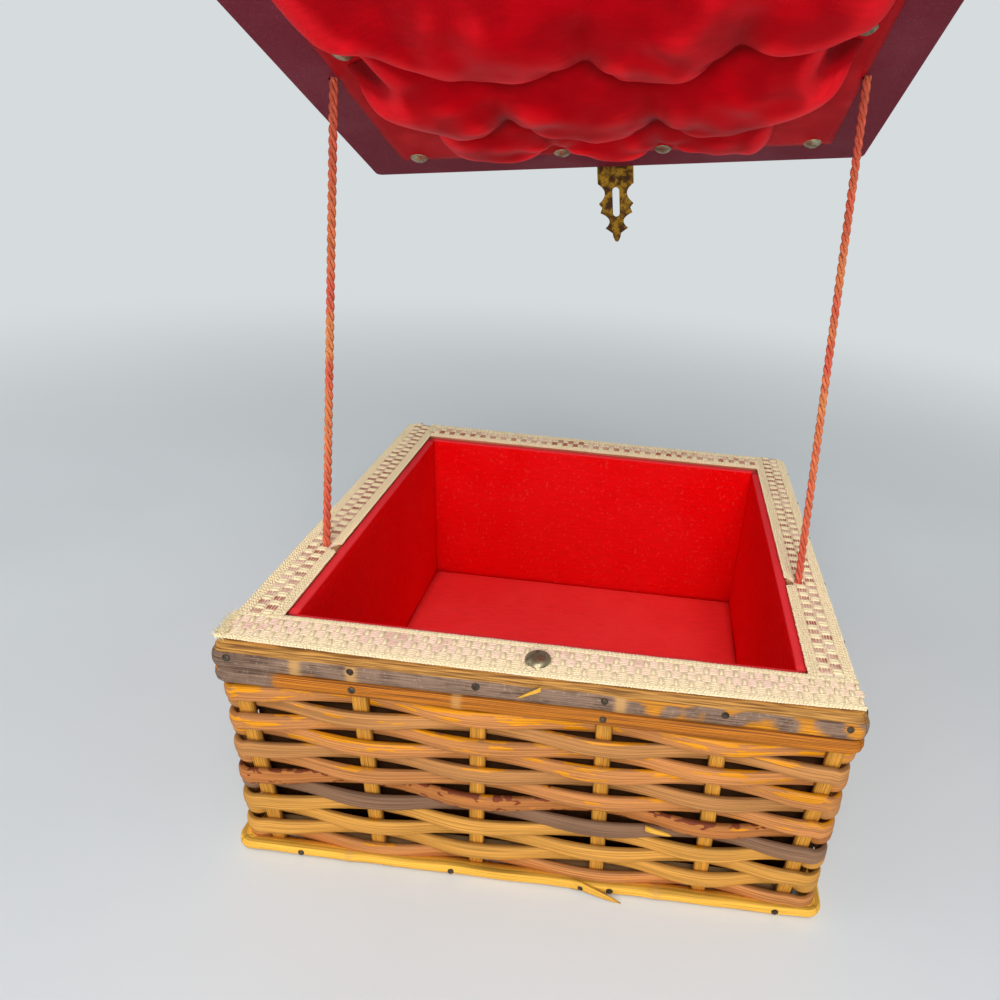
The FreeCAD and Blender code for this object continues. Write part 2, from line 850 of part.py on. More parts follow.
def main():
    """Builds every node and writes it to its own file."""
    os.makedirs("parts", exist_ok=True)
    for name, shape in collect_nodes().items():
        if not shape.isValid():
            print("not valid:", name)
        shape.exportStep(f"parts/{name}.step")
    print_joints()


main()
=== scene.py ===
import math
import random
from functools import partial

import bmesh
import bpy
import numpy as np
from mathutils import Matrix, Vector, noise


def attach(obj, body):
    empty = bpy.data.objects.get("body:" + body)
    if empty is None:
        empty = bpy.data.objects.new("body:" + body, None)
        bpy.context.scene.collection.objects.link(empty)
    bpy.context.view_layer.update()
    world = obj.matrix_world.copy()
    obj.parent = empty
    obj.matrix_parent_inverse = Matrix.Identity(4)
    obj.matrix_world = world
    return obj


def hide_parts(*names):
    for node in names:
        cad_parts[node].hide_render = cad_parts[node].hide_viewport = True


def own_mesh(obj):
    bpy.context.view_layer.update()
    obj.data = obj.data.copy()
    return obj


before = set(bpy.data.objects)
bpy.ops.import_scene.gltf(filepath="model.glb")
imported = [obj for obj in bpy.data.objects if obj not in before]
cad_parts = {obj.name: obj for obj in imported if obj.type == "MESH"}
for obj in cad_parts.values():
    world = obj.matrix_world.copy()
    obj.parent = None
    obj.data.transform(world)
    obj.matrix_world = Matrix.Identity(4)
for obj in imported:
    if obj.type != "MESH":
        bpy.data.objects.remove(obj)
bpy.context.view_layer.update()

bl_info = {
    "name": "Wicker Sewing Box",
    "version": (1, 0, 0),
    "blender": (4, 5, 0),
    "location": "View3D > Sidebar > Sewing Box",
    "description": "A lined wicker sewing box with a padded lid held on two cords",
    "category": "Add Mesh",
}


# Sizes of the box in millimetres, as in the frame
MM = 0.001
HALF = 135.0
SIDES = ("near", "right", "far", "left")
LONG_SIDES = ("near", "far")
CORD_SIDES = ("left", "right")
MIDDLE_STAKES = (-70.74, -24.3, 33.48, 81.81)
LONG_END_STAKE = 120.15
SHORT_END_STAKE = 116.1
LONG_STAKE_TOPS = (-129.0, -76.4, -23.8, 29.5, 78.6, 129.0)
SHORT_STAKE_TOPS = (-126.0, -76.4, -23.8, 29.5, 78.6, 126.0)
STAKE_DEPTH = 3.2
STAKE_RISE = 112.0
RIM_TOP = 120.5
BRAID_TOP = 122.0
LINING_OUTER = 20.1
LINING_INNER = 24.9
LINING_TOP = 119.5
BOARD_TOP = 10.8
FLOOR_TOP = 14.5

# The lid's place: its underside's centre, and its tilt about a level axis
LID_CENTRE = (-1.3, -31.2, 357.2)
LID_TILT = math.radians(-24.0)
LID_HEADING = math.radians(15.65)
LID_HALF = 139.0
CLOTH_HALF = 116.5
CLOTH_DEPTH = 0.8
KNOTS = {"left": (-118.0, 29.0, 6.0), "right": (118.0, 48.3, 6.0)}
RIM_EXITS = {"left": (-120.5, -52.4, RIM_TOP), "right": (120.5, -38.3, RIM_TOP)}
CORD_PLACES = {"left": -RIM_EXITS["left"][1], "right": RIM_EXITS["right"][1]}

lid_axis = Vector((math.cos(LID_HEADING), math.sin(LID_HEADING), 0.0))
LID_PLACE = Matrix.Translation(Vector(LID_CENTRE) * MM) @ Matrix.Rotation(LID_TILT, 4, lid_axis)


def tone(red, green, blue):
    """A colour given as screen values from 0 to 255, as linear light."""
    values = [value / 255 for value in (red, green, blue)]
    return tuple(v / 12.92 if v <= 0.04045 else ((v + 0.055) / 1.055) ** 2.4 for v in values)


def colour_setting(label, text, default):
    """A colour that a user may change."""
    return bpy.props.FloatVectorProperty(
        name=label, description=text, default=default, subtype="COLOR", size=3, min=0, max=1
    )


def length_setting(label, text, millimetres):
    """A length that a user may change."""
    return bpy.props.FloatProperty(
        name=label, description=text, default=millimetres * MM, unit="LENGTH", precision=4
    )


def power_setting(label, text, watts):
    """A lamp's power that a user may change."""
    return bpy.props.FloatProperty(name=label, description=text, default=watts, unit="POWER")


class WeaveSettings(bpy.types.PropertyGroup):
    """Sizes and colours of the woven walls."""

    rows: bpy.props.IntProperty(name="Rows", description="Rows of strands", default=12, min=1)
    first_level: length_setting("First Level", "Height of the top row", 93.7)
    row_drop: length_setting("Row Drop", "Height from one row to the next", 7.9)
    reach: length_setting("Reach", "How far a strand swings in and out", 3.3)
    strand_height: length_setting("Strand Height", "Height of a strand", 8.9)
    strand_thickness: length_setting("Strand Thickness", "Thickness of a strand", 3.7)
    waver: length_setting("Waver", "How far a strand strays up and down", 0.7)
    honey: colour_setting("Honey", "Plain cane", tone(201, 132, 72))
    rose: colour_setting("Rose", "Pinkish cane", tone(190, 131, 73))
    golden: colour_setting("Golden", "Glossy yellow cane skin", tone(234, 150, 14))
    straw: colour_setting("Straw", "Pale yellow cane", tone(211, 150, 66))
    mauve: colour_setting("Mauve", "Grey weathered cane", tone(138, 102, 76))
    russet: colour_setting("Russet", "Reddish cane", tone(184, 114, 56))


class TrimSettings(bpy.types.PropertyGroup):
    """Sizes and colours of the bands, the braid and the lining."""

    corner_radius: length_setting("Corner Radius", "Bend of the bands at a corner", 3.5)
    near_pitch: length_setting("Near Pitch", "Repeat of the near braid", 6.3)
    side_pitch: length_setting("Side Pitch", "Repeat of the other braid", 7.3)
    cream: colour_setting("Cream", "Plain braid yarn", tone(255, 240, 196))
    pink_yarn: colour_setting("Pink Yarn", "Faded braid yarn", tone(252, 222, 202))
    rose_yarn: colour_setting("Rose Yarn", "Coloured braid yarn", tone(186, 114, 90))
    lining: colour_setting("Lining", "Red lining cloth", tone(240, 2, 6))


class LidSettings(bpy.types.PropertyGroup):
    """Sizes and colours of the lid and its cords."""

    cord_diameter: length_setting("Cord Diameter", "Thickness of a cord", 4.0)
    cord_lay: length_setting("Cord Lay", "Length of one turn of a cord's plies", 14.0)
    pad_grid: length_setting("Pad Grid", "Spacing of the padding's mesh", 2.0)
    satin: colour_setting("Satin", "Red padding", tone(186, 3, 18))
    maroon: colour_setting("Maroon", "Lid covering", tone(116, 36, 52))
    salmon: colour_setting("Salmon", "Cord", tone(222, 100, 76))
    paled: colour_setting("Faded", "Faded cord", tone(230, 156, 90))


class StageSettings(bpy.types.PropertyGroup):
    """Floor, lamps and camera."""

    floor_colour: colour_setting("Floor", "Floor and background", tone(214, 219, 221))
    lens: bpy.props.FloatProperty(
        name="Lens", description="Focal length", default=28.05, unit="CAMERA"
    )
    key: power_setting("Key", "Main lamp", 22.0)
    fill: power_setting("Fill", "Side lamp", 3.0)
    low: power_setting("Low", "Low lamp in front", 8.0)


class SewingBoxSettings(bpy.types.PropertyGroup):
    """All settings of the sewing box."""

    weave: bpy.props.PointerProperty(type=WeaveSettings)
    trim: bpy.props.PointerProperty(type=TrimSettings)
    lid: bpy.props.PointerProperty(type=LidSettings)
    stage: bpy.props.PointerProperty(type=StageSettings)


def settings():
    """The settings of the scene."""
    return bpy.context.scene.sewing_box


# Meshes
def link_object(name, data):
    """Puts new data into the scene as an object at the origin."""
    piece = bpy.data.objects.new(name, data)
    bpy.context.scene.collection.objects.link(piece)
    return piece


def mend_normals(mesh):
    """Merges doubles and turns the faces of a closed mesh outwards."""
    work = bmesh.new()
    work.from_mesh(mesh)
    bmesh.ops.remove_doubles(work, verts=work.verts, dist=1e-6)
    bmesh.ops.recalc_face_normals(work, faces=work.faces)
    work.to_mesh(mesh)
    work.free()


def metres(points):
    """Points given in millimetres, in metres."""
    return [tuple(c * MM for c in point) for point in points]


def keep_values(mesh, values, kind="FLOAT"):
    """Stores named numbers or vectors on the points of a mesh."""
    key = "value" if kind == "FLOAT" else "vector"
    for label, numbers in values.items():
        layer = mesh.attributes.new(label, kind, "POINT")
        layer.data.foreach_set(key, np.array(numbers, np.float32).ravel())


def new_mesh(name, points, faces, values=None, place=None):
    """A mesh from points in millimetres, with named values on its points."""
    mesh = bpy.data.meshes.new(name)
    mesh.from_pydata(metres(points), [], faces)
    keep_values(mesh, values or {})
    if place is not None:
        mesh.transform(place)
    mend_normals(mesh)
    mesh.polygons.foreach_set("use_smooth", [True] * len(mesh.polygons))
    return mesh


def new_piece(name, finish_name, points, faces, values=None, place=None):
    """A piece with its finish, from points in millimetres."""
    mesh = new_mesh(name, points, faces, values, place)
    mesh.materials.append(finish(finish_name))
    return link_object(name, mesh)


def plain_mesh(piece, **options):
    """The mesh that an object's curve or modifiers give."""
    graph = bpy.context.evaluated_depsgraph_get()
    return bpy.data.meshes.new_from_object(piece.evaluated_get(graph), depsgraph=graph, **options)


def curve_mesh(outlines, kind, shape, ends):
    """The mesh of a curve along outlines in metres; shape and ends are its options."""
    curve = bpy.data.curves.new("outline", "CURVE")
    for key, value in shape.items():
        setattr(curve, key, value)
    for outline in outlines:
        spline = curve.splines.new(kind)
        spline.points.add(len(outline) - 1)
        for control, point in zip(spline.points, outline):
            control.co = (*point, 1.0)
        for key, value in ends.items():
            setattr(spline, key, value)
    line = link_object("outline", curve)
    mesh = plain_mesh(line)
    bpy.data.objects.remove(line)
    return mesh


def apply_modifiers(piece, **options):
    """Turns a piece with modifiers into one with a plain mesh."""
    mesh = plain_mesh(piece, **options)
    piece.modifiers.clear()
    piece.data = mesh
    return mesh


def skin(ring_count, ring_size, loop=False, first=0):
    """Faces between successive rings of points, capped where the rings are open."""
    faces = []
    for i in range(ring_count if loop else ring_count - 1):
        a = i * ring_size
        b = (i + 1) % ring_count * ring_size
        for j in range(ring_size):
            k = (j + 1) % ring_size
            faces.append((a + j, b + j, b + k, a + k))
    if not loop:
        faces.append(tuple(range(ring_size)))
        faces.append(tuple(range((ring_count - 1) * ring_size, ring_count * ring_size)))
    return [tuple(first + index for index in face) for face in faces]


def turned(side, x, y):
    """A place or direction on the near side, turned round to another side."""
    for _ in range(SIDES.index(side)):
        x, y = -y, x
    return x, y


def on_side(side, along, depth, level):
    """A point on a side of the box, from its place along the side and its depth."""
    return (*turned(side, along, depth - HALF), level)


def stake_places(side):
    """Places of the stakes along a side."""
    end = LONG_END_STAKE if side in LONG_SIDES else SHORT_END_STAKE
    return (-end, *MIDDLE_STAKES, end)


def stake_tops(side):
    """Places of the stakes along a side at the rim nails."""
    return LONG_STAKE_TOPS if side in LONG_SIDES else SHORT_STAKE_TOPS


def ripple(*where):
    """Smooth noise from -1 to 1."""
    return noise.noise(Vector(where))


def settle(piece, body, slot, *nodes):
    """Ties a piece to its body and hides the nodes that it stands for; its material slot is not
    used.
    """
    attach(piece, body)
    if nodes:
        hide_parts(*nodes)
    return piece


def dress(finish_name, *nodes):
    """Gives nodes of the frame their finish."""
    for node in nodes:
        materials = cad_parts[node].data.materials
        materials.clear()
        materials.append(finish(finish_name))


# Node trees
def paint(colour):
    """A colour with its alpha."""
    return (*tuple(colour)[:3], 1.0)


def plug(tree, socket, value):
    """Links a socket into an input, or sets its value."""
    if isinstance(value, bpy.types.NodeSocket):
        tree.links.new(value, socket)
    else:
        socket.default_value = paint(value) if socket.type == "RGBA" else value


def add(tree, kind, inputs=None, **options):
    """Adds a node, sets its options and fills its inputs."""
    node = tree.nodes.new(kind)
    for key, value in options.items():
        setattr(node, key, value)
    for key, value in (inputs or {}).items():
        plug(tree, node.inputs[key], value)
    return node


def calc(tree, operation, *values):
    """A sum of a node tree."""
    return add(tree, "ShaderNodeMath", dict(enumerate(values)), operation=operation).outputs[0]


def times(tree, first, second):
    """A product of a node tree."""
    return calc(tree, "MULTIPLY", first, second)


def fitted(tree, value, scale, shift):
    """A value scaled and shifted."""
    return calc(tree, "MULTIPLY_ADD", value, scale, shift)


def blend(tree, factor, first, second, kind="MIX"):
    """Two colours mixed."""
    node = add(tree, "ShaderNodeMix", {0: factor, 6: first, 7: second}, data_type="RGBA")
    node.blend_type = kind
    return node.outputs[2]


def shaded(tree, colour, shade):
    """A colour made darker or lighter by a value."""
    return blend(tree, 1.0, colour, shade, "MULTIPLY")


def touched(tree, colour, mask, amount, other):
    """A colour with some of another colour where a mask shows."""
    return blend(tree, times(tree, mask, amount), colour, other)


def spread(tree, value, low, high, to_low=0.0, to_high=1.0):
    """A value mapped smoothly from one range to another."""
    inputs = {0: value, 1: low, 2: high, 3: to_low, 4: to_high}
    return add(tree, "ShaderNodeMapRange", inputs, interpolation_type="SMOOTHSTEP").outputs[0]


def vector(tree, x=0.0, y=0.0, z=0.0):
    """Three values as a vector."""
    return add(tree, "ShaderNodeCombineXYZ", {0: x, 1: y, 2: z}).outputs[0]


def stretched(tree, *pairs):
    """A place for noise, from up to three values and their scales."""
    return vector(tree, *[times(tree, value, scale) for value, scale in pairs])


def grain(tree, where, scale=1.0, detail=2.0):
    """Noise over a surface."""
    inputs = {"Vector": where, "Scale": scale, "Detail": detail}
    return add(tree, "ShaderNodeTexNoise", inputs).outputs[0]


def steps(tree, factor, stops, constant=True):
    """A ramp of colours or grey values."""
    node = add(tree, "ShaderNodeValToRGB", {0: factor})
    ramp = node.color_ramp
    ramp.interpolation = "CONSTANT" if constant else "LINEAR"
    for index, (place, value) in enumerate(stops):
        element = ramp.elements[index] if index < 2 else ramp.elements.new(place)
        element.position = place
        element.color = paint(value if hasattr(value, "__len__") else (value,) * 3)
    return node.outputs[0]


def named(tree, label):
    """A named value of the mesh, in a shader."""
    return add(tree, "ShaderNodeAttribute", attribute_name=label).outputs["Fac"]


def group_tree(name, kind, inputs, outputs):
    """A node group with named inputs and outputs."""
    tree = bpy.data.node_groups.new(name, kind)
    for label, (socket_kind, default) in inputs.items():
        socket = tree.interface.new_socket(label, in_out="INPUT", socket_type=socket_kind)
        if default is not None:
            socket.default_value = default
    for label, socket_kind in outputs.items():
        tree.interface.new_socket(label, in_out="OUTPUT", socket_type=socket_kind)
    source = tree.nodes.new("NodeGroupInput").outputs
    sink = tree.nodes.new("NodeGroupOutput").inputs
    return tree, source, sink


def shared(name, build):
    """The node tree of that name, built on its first use."""
    return bpy.data.node_groups.get(name) or build(name)


FLOAT = "NodeSocketFloat"
COLOUR = "NodeSocketColor"
VECTOR = "NodeSocketVector"

# Noise on cane: scale along and across it, step from strand to strand, detail
CANE_FIBRES = (22.0, 9.0, 3.7, 5.0)
CANE_SHADES = (11.0, 0.5, 5.3, 2.0)
CANE_SKIN = (56.0, 1.6, 7.9, 8.0)
CANE_FLAKES = (230.0, 1.8, 2.3, 1.0)
# Where patches begin, how far their amount lowers that, and the soft step at their edge
SKIN_PATCHES = (0.78, 0.42, -0.015, 0.03)
FLAKE_PATCHES = (1.25, 0.52, 0.0, 0.06)
SKIN_LEAN = -0.1
FLAKE_EDGE = 0.28


def cane_group(name):
    """Shared look of cane: fibres along it, patches of glossy skin, dark flakes and painted shade
    at its edges.
    """
    tree, source, sink = group_tree(
        name,
        "ShaderNodeTree",
        {
            "Along": (FLOAT, 0.0),
            "Across": (FLOAT, 0.0),
            "Strand": (FLOAT, 0.0),
            "Base": (COLOUR, (0.5, 0.3, 0.1, 1)),
            "Skin": (COLOUR, (0.7, 0.4, 0.1, 1)),
            "Skin Amount": (FLOAT, 0.0),
            "Flake": (COLOUR, (0.2, 0.05, 0.02, 1)),
            "Flake Amount": (FLOAT, 0.0),
        },
        {"Colour": COLOUR, "Gloss": FLOAT, "Height": FLOAT},
    )
    along, across, strand = source["Along"], source["Across"], source["Strand"]

    def field(along_scale, across_scale, step, detail):
        where = stretched(tree, (along, along_scale), (across, across_scale), (strand, step))
        return grain(tree, where, detail=detail)

    def patches(value, amount, start, gain, low, high):
        limit = calc(tree, "SUBTRACT", start, times(tree, amount, gain))
        return spread(tree, calc(tree, "SUBTRACT", value, limit), low, high)

    edge = calc(tree, "ABSOLUTE", across)
    fibres = field(*CANE_FIBRES)
    skin_field = fitted(tree, across, SKIN_LEAN, field(*CANE_SKIN))
    skin_mask = patches(skin_field, source["Skin Amount"], *SKIN_PATCHES)
    flake_field = fitted(tree, edge, FLAKE_EDGE, field(*CANE_FLAKES))
    flake_mask = patches(flake_field, source["Flake Amount"], *FLAKE_PATCHES)
    colour = shaded(tree, source["Base"], fitted(tree, field(*CANE_SHADES), 0.6, 0.7))
    colour = blend(tree, skin_mask, colour, source["Skin"])
    colour = shaded(tree, colour, spread(tree, fibres, 0.32, 0.62, 0.62, 1.1))
    colour = blend(tree, flake_mask, colour, source["Flake"])
    # Painted shade: darker towards the edges of each strand, stake and band, where it meets its
    # neighbours
    colour = shaded(tree, colour, spread(tree, edge, 0.7, 1.0, 1.0, 0.6))
    plug(tree, sink["Colour"], colour)
    plug(tree, sink["Gloss"], skin_mask)
    height = fitted(tree, skin_mask, 0.35, times(tree, fibres, 0.8))
    plug(tree, sink["Height"], fitted(tree, flake_mask, -0.5, height))
    return tree


def thread_group(name):
    """Shared look of plain woven cloth: crossing threads and their uneven tone."""
    tree, source, sink = group_tree(
        name,
        "ShaderNodeTree",
        {"Warp": (FLOAT, 0.0), "Weft": (FLOAT, 0.0), "Thread": (FLOAT, 0.0005)},
        {"Height": FLOAT, "Tone": FLOAT},
    )
    waves = []
    for label in ("Warp", "Weft"):
        turns = calc(tree, "DIVIDE", source[label], source["Thread"])
        waves.append(calc(tree, "SINE", times(tree, turns, math.pi)))
    plug(tree, sink["Height"], times(tree, *waves))
    slubs = stretched(tree, (source["Warp"], 90.0), (source["Weft"], 700.0))
    plug(tree, sink["Tone"], fitted(tree, grain(tree, slubs, detail=3.0), 0.3, 0.85))
    return tree


def age_group(name):
    """Shared look of age: blotches and fine specks."""
    tree, source, sink = group_tree(
        name,
        "ShaderNodeTree",
        {"Vector": (VECTOR, None), "Blotch Scale": (FLOAT, 60.0), "Speck Scale": (FLOAT, 900.0)},
        {"Blotches": FLOAT, "Specks": FLOAT},
    )
    blotches = grain(tree, source["Vector"], source["Blotch Scale"], 5.0)
    plug(tree, sink["Blotches"], spread(tree, blotches, 0.38, 0.64))
    specks = grain(tree, source["Vector"], source["Speck Scale"], 2.0)
    plug(tree, sink["Specks"], spread(tree, specks, 0.58, 0.72))
    return tree


def new_material(name, **fixed):
    """A material with its main shader, whose even values are set on its own sockets."""
    material = bpy.data.materials.new(f"{name}_finish")
    material.use_nodes = True
    tree = material.node_tree
    shader = tree.nodes["Principled BSDF"]
    for label, value in fixed.items():
        shader.inputs[label.replace("_", " ")].default_value = value
    return material, tree, shader


def place_group(tree, group, **inputs):
    """Puts a shared effect into a material."""
    node = tree.nodes.new("ShaderNodeGroup")
    node.node_tree = group
    for label, value in inputs.items():
        plug(tree, node.inputs[label.replace("_", " ")], value)
    return node.outputs


def aged(tree, where, blotch_scale, speck_scale):
    """Places the shared look of age: its blotches and its specks."""
    group = shared("age", age_group)
    inputs = {"Vector": where, "Blotch_Scale": blotch_scale, "Speck_Scale": speck_scale}
    outputs = place_group(tree, group, **inputs)
    return outputs["Blotches"], outputs["Specks"]


def woven(tree, warp, weft, thread):
    """Places the shared look of woven cloth: its height and its tone."""
    group = shared("cloth threads", thread_group)
    outputs = place_group(tree, group, Warp=warp, Weft=weft, Thread=thread)
    return outputs["Height"], outputs["Tone"]


def bump(tree, shader, height, distance, strength=1.0):
    """Turns a height into the shader's normal."""
    inputs = {"Height": height, "Distance": distance * MM, "Strength": strength}
    plug(tree, shader.inputs["Normal"], add(tree, "ShaderNodeBump", inputs).outputs[0])


def object_place(tree):
    """Object coordinates and their three parts."""
    where = add(tree, "ShaderNodeTexCoord").outputs["Object"]
    return where, add(tree, "ShaderNodeSeparateXYZ", {0: where}).outputs


# Finishes
CANE_DULL = 0.62
FLAKE_TONE = tone(124, 56, 26)
# Rows of the weave from the top: tone, amount of glossy skin, amount of flaked bark
ROW_LOOKS = (
    ("honey", 0.62, 0.0),
    ("rose", 0.3, 0.0),
    ("honey", 0.48, 0.0),
    ("honey", 0.45, 0.0),
    ("rose", 0.1, 0.0),
    ("honey", 0.32, 0.55),
    ("russet", 0.2, 1.0),
    ("mauve", 0.0, 0.3),
    ("straw", 0.1, 0.0),
    ("straw", 0.05, 0.0),
    ("straw", 0.1, 0.0),
    ("honey", 0.1, 0.0),
)


def cane_finish(name, base, skin_amount=0.0, flake_amount=0.0, strand="strand"):
    """Cane of one look; its colour and amounts may be functions of the tree."""
    material, tree, shader = new_material(name, Specular_IOR_Level=0.22)

    def made(value):
        return value(tree) if callable(value) else value

    outputs = place_group(
        tree,
        shared("cane skin", cane_group),
        Along=named(tree, "along"),
        Across=named(tree, "across"),
        Strand=named(tree, strand),
        Base=made(base),
        Skin=settings().weave.golden,
        Skin_Amount=made(skin_amount),
        Flake=FLAKE_TONE,
        Flake_Amount=made(flake_amount),
    )
    return material, tree, shader, outputs


def close_cane(tree, shader, colour, gloss, height, glossy=0.33, depth=0.35):
    """Wires a cane look into its shader."""
    plug(tree, shader.inputs["Base Color"], colour)
    plug(tree, shader.inputs["Roughness"], spread(tree, gloss, 0.0, 1.0, CANE_DULL, glossy))
    bump(tree, shader, height, depth, 0.8)


def by_row(values):
    """One value or colour for each row of the weave, as a function of the tree."""
    count = len(ROW_LOOKS)

    def ramp(tree):
        place = calc(tree, "DIVIDE", calc(tree, "ADD", named(tree, "row"), 0.5), count)
        return steps(tree, place, [(index / count, value) for index, value in enumerate(values)])

    return ramp


def woven_cane():
    """The strands of the walls, each row in its own tone."""
    labels, skins, flakes = zip(*ROW_LOOKS)
    tones = [tuple(getattr(settings().weave, label)) for label in labels]
    material, tree, shader, outputs = cane_finish(
        "woven_cane", by_row(tones), by_row(skins), by_row(flakes), strand="row"
    )
    close_cane(tree, shader, *outputs)
    return material


def stake_cane():
    """The flat golden stakes with dark grain."""
    material, tree, shader, outputs = cane_finish("stake_cane", tone(214, 148, 54))
    scales = (("along", 60.0), ("across", 9.0), ("strand", 4.0))
    pores = grain(tree, stretched(tree, *[(named(tree, label), scale) for label, scale in scales]))
    dark = spread(tree, pores, 0.56, 0.66, 0.0, 0.65)
    colour = blend(tree, dark, outputs["Colour"], tone(112, 70, 26))
    close_cane(tree, shader, colour, outputs["Gloss"], outputs["Height"])
    return material


def band_cane(name, base, skin_amount, dark_lines=0.0):
    """A band: cane with grey bark, pale scars at its nodes and a raw torn edge."""
    material, tree, shader, outputs = cane_finish(name, base, skin_amount)
    along, across = named(tree, "along"), named(tree, "across")
    bark, raw, scar = named(tree, "bark"), named(tree, "raw"), named(tree, "scar")
    where, _ = object_place(tree)
    blotches, specks = aged(tree, where, 90.0, 700.0)
    fibre = grain(tree, stretched(tree, (along, 46.0), (across, 11.0)), detail=5.0)
    lines = vector(tree, times(tree, along, 9.0), times(tree, across, 13.0), 3.0)
    lines = spread(tree, grain(tree, lines, detail=3.0), 0.5, 0.57, 0.0, dark_lines)
    colour = blend(tree, lines, outputs["Colour"], tone(104, 56, 20))
    streak = spread(tree, fitted(tree, blotches, 0.12, fibre), 0.36, 0.7)
    grey = blend(tree, streak, tone(86, 64, 51), tone(146, 117, 97))
    grey = touched(tree, grey, specks, 0.25, tone(196, 172, 146))
    colour = blend(tree, bark, colour, grey)
    pale = spread(tree, times(tree, scar, calc(tree, "ADD", fibre, 0.45)), 0.25, 0.95, 0.0, 0.8)
    colour = blend(tree, pale, colour, tone(206, 156, 92))
    torn = blend(tree, spread(tree, fibre, 0.34, 0.66), tone(118, 76, 32), tone(202, 146, 72))
    ragged = calc(tree, "ADD", raw, fitted(tree, fibre, 0.7, -0.35))
    colour = blend(tree, spread(tree, ragged, 0.42, 0.58), colour, torn)
    height = fitted(tree, fibre, raw, outputs["Height"])
    close_cane(tree, shader, colour, outputs["Gloss"], height, glossy=0.36, depth=0.5)
    return material


def braid_yarn():
    """Cream yarn with blotchy rose stitches."""
    trim = settings().trim
    material, tree, shader = new_material("braid_yarn", Roughness=0.9, Specular_IOR_Level=0.2)
    where, _ = object_place(tree)
    blotches, specks = aged(tree, where, 45.0, 1500.0)
    tint = times(tree, named(tree, "tint"), fitted(tree, blotches, 0.5, 0.6))
    stops = ((0.0, trim.cream), (0.5, trim.pink_yarn), (1.0, trim.rose_yarn))
    colour = steps(tree, tint, stops, constant=False)
    colour = touched(tree, colour, specks, 0.35, tone(170, 132, 84))
    plug(tree, shader.inputs["Base Color"], colour)
    bump(tree, shader, grain(tree, where, 2600.0, 2.0), 0.25)
    return material


def red_cloth(name, warp, weft, paled, blotchy):
    """Smooth red cloth; warp and weft pick the object directions of its threads."""
    material, tree, shader = new_material(name, Roughness=0.8, Specular_IOR_Level=0.04)
    where, parts = object_place(tree)

    def direction(weights):
        total = 0.0
        for part, weight in zip(parts, weights):
            total = fitted(tree, part, weight, total)
        return total

    height, threads = woven(tree, direction(warp), direction(weft), 0.00045)
    blotches, specks = aged(tree, where, 14.0, 420.0)
    base = settings().trim.lining
    # A paler red: on the floor panel it is painted light and a painted reflection on the upward
    # face, with some fading; on the walls it is fading in blotches
    pale = [min(1.0, channel * 1.3 + 0.045) for channel in base]
    colour = blend(tree, fitted(tree, blotches, blotchy, paled), base, pale)
    colour = shaded(tree, colour, threads)
    colour = touched(tree, colour, specks, 0.06, tone(236, 150, 140))
    # Painted light on the lining's top edge, lighter where it faces up to the light, with some
    # fading
    colour = touched(tree, colour, named(tree, "worn"), 0.7, tone(240, 72, 78))
    # Painted shade: the card behind the lining is dark brown, seen through the gaps of the weave
    colour = blend(tree, named(tree, "card"), colour, tone(96, 64, 40))
    plug(tree, shader.inputs["Base Color"], colour)
    bump(tree, shader, height, 0.08, 0.6)
    return material


def red_satin():
    """Red satin of the padding and the lid's cloth, with painted shade in its hollows and a painted
    highlight on its swells.
    """
    material, tree, shader = new_material("red_satin", Specular_IOR_Level=0.05)
    where, parts = object_place(tree)
    height, threads = woven(tree, parts[0], parts[1], 0.0004)
    blotches, _ = aged(tree, where, 30.0, 1100.0)
    base = settings().lid.satin
    # Painted shade for the hollows and a painted highlight for the swells, mixed by each spot's
    # painted light value
    hollow_shade = [channel * 0.45 for channel in base]
    light = [min(1.0, channel * 1.7 + 0.008) for channel in base]
    swell = named(tree, "swell")
    colour = blend(tree, spread(tree, swell, 0.05, 0.55), hollow_shade, base)
    colour = blend(tree, spread(tree, swell, 0.6, 1.0), colour, light)
    colour = shaded(tree, colour, spread(tree, blotches, 0.0, 1.0, 0.84, 1.08))
    colour = shaded(tree, colour, threads)
    plug(tree, shader.inputs["Base Color"], colour)
    plug(tree, shader.inputs["Roughness"], spread(tree, blotches, 0.0, 1.0, 0.5, 0.4))
    bump(tree, shader, height, 0.05, 0.5)
    return material


def maroon_cover():
    """Fine grained maroon covering of the lid."""
    material, tree, shader = new_material("maroon_cover", Specular_IOR_Level=0.1)
    where, _ = object_place(tree)
    inputs = {"Vector": where, "Scale": 1100.0}
    cells = add(tree, "ShaderNodeTexVoronoi", inputs, feature="DISTANCE_TO_EDGE")
    blotches, specks = aged(tree, where, 22.0, 800.0)
    base = settings().lid.maroon
    colour = blend(tree, blotches, base, [channel * 1.12 for channel in base])
    colour = touched(tree, colour, specks, 0.22, tone(150, 92, 92))
    plug(tree, shader.inputs["Base Color"], colour)
    plug(tree, shader.inputs["Roughness"], spread(tree, blotches, 0.0, 1.0, 0.62, 0.48))
    bump(tree, shader, spread(tree, cells.outputs["Distance"], 0.0, 0.25), 0.12, 0.7)
    return material


def old_metal(name, bright, dark, patina, smooth, dull):
    """Worn metal with dark patina."""
    material, tree, shader = new_material(name)
    where, _ = object_place(tree)
    blotches, specks = aged(tree, where, 260.0, 1300.0)
    worn = calc(tree, "MAXIMUM", times(tree, blotches, patina), specks)
    plug(tree, shader.inputs["Base Color"], blend(tree, worn, bright, dark))
    plug(tree, shader.inputs["Metallic"], spread(tree, worn, 0.0, 1.0, 1.0, 0.75))
    plug(tree, shader.inputs["Roughness"], spread(tree, worn, 0.0, 1.0, smooth, dull))
    bump(tree, shader, worn, -0.08, 0.6)
    return material


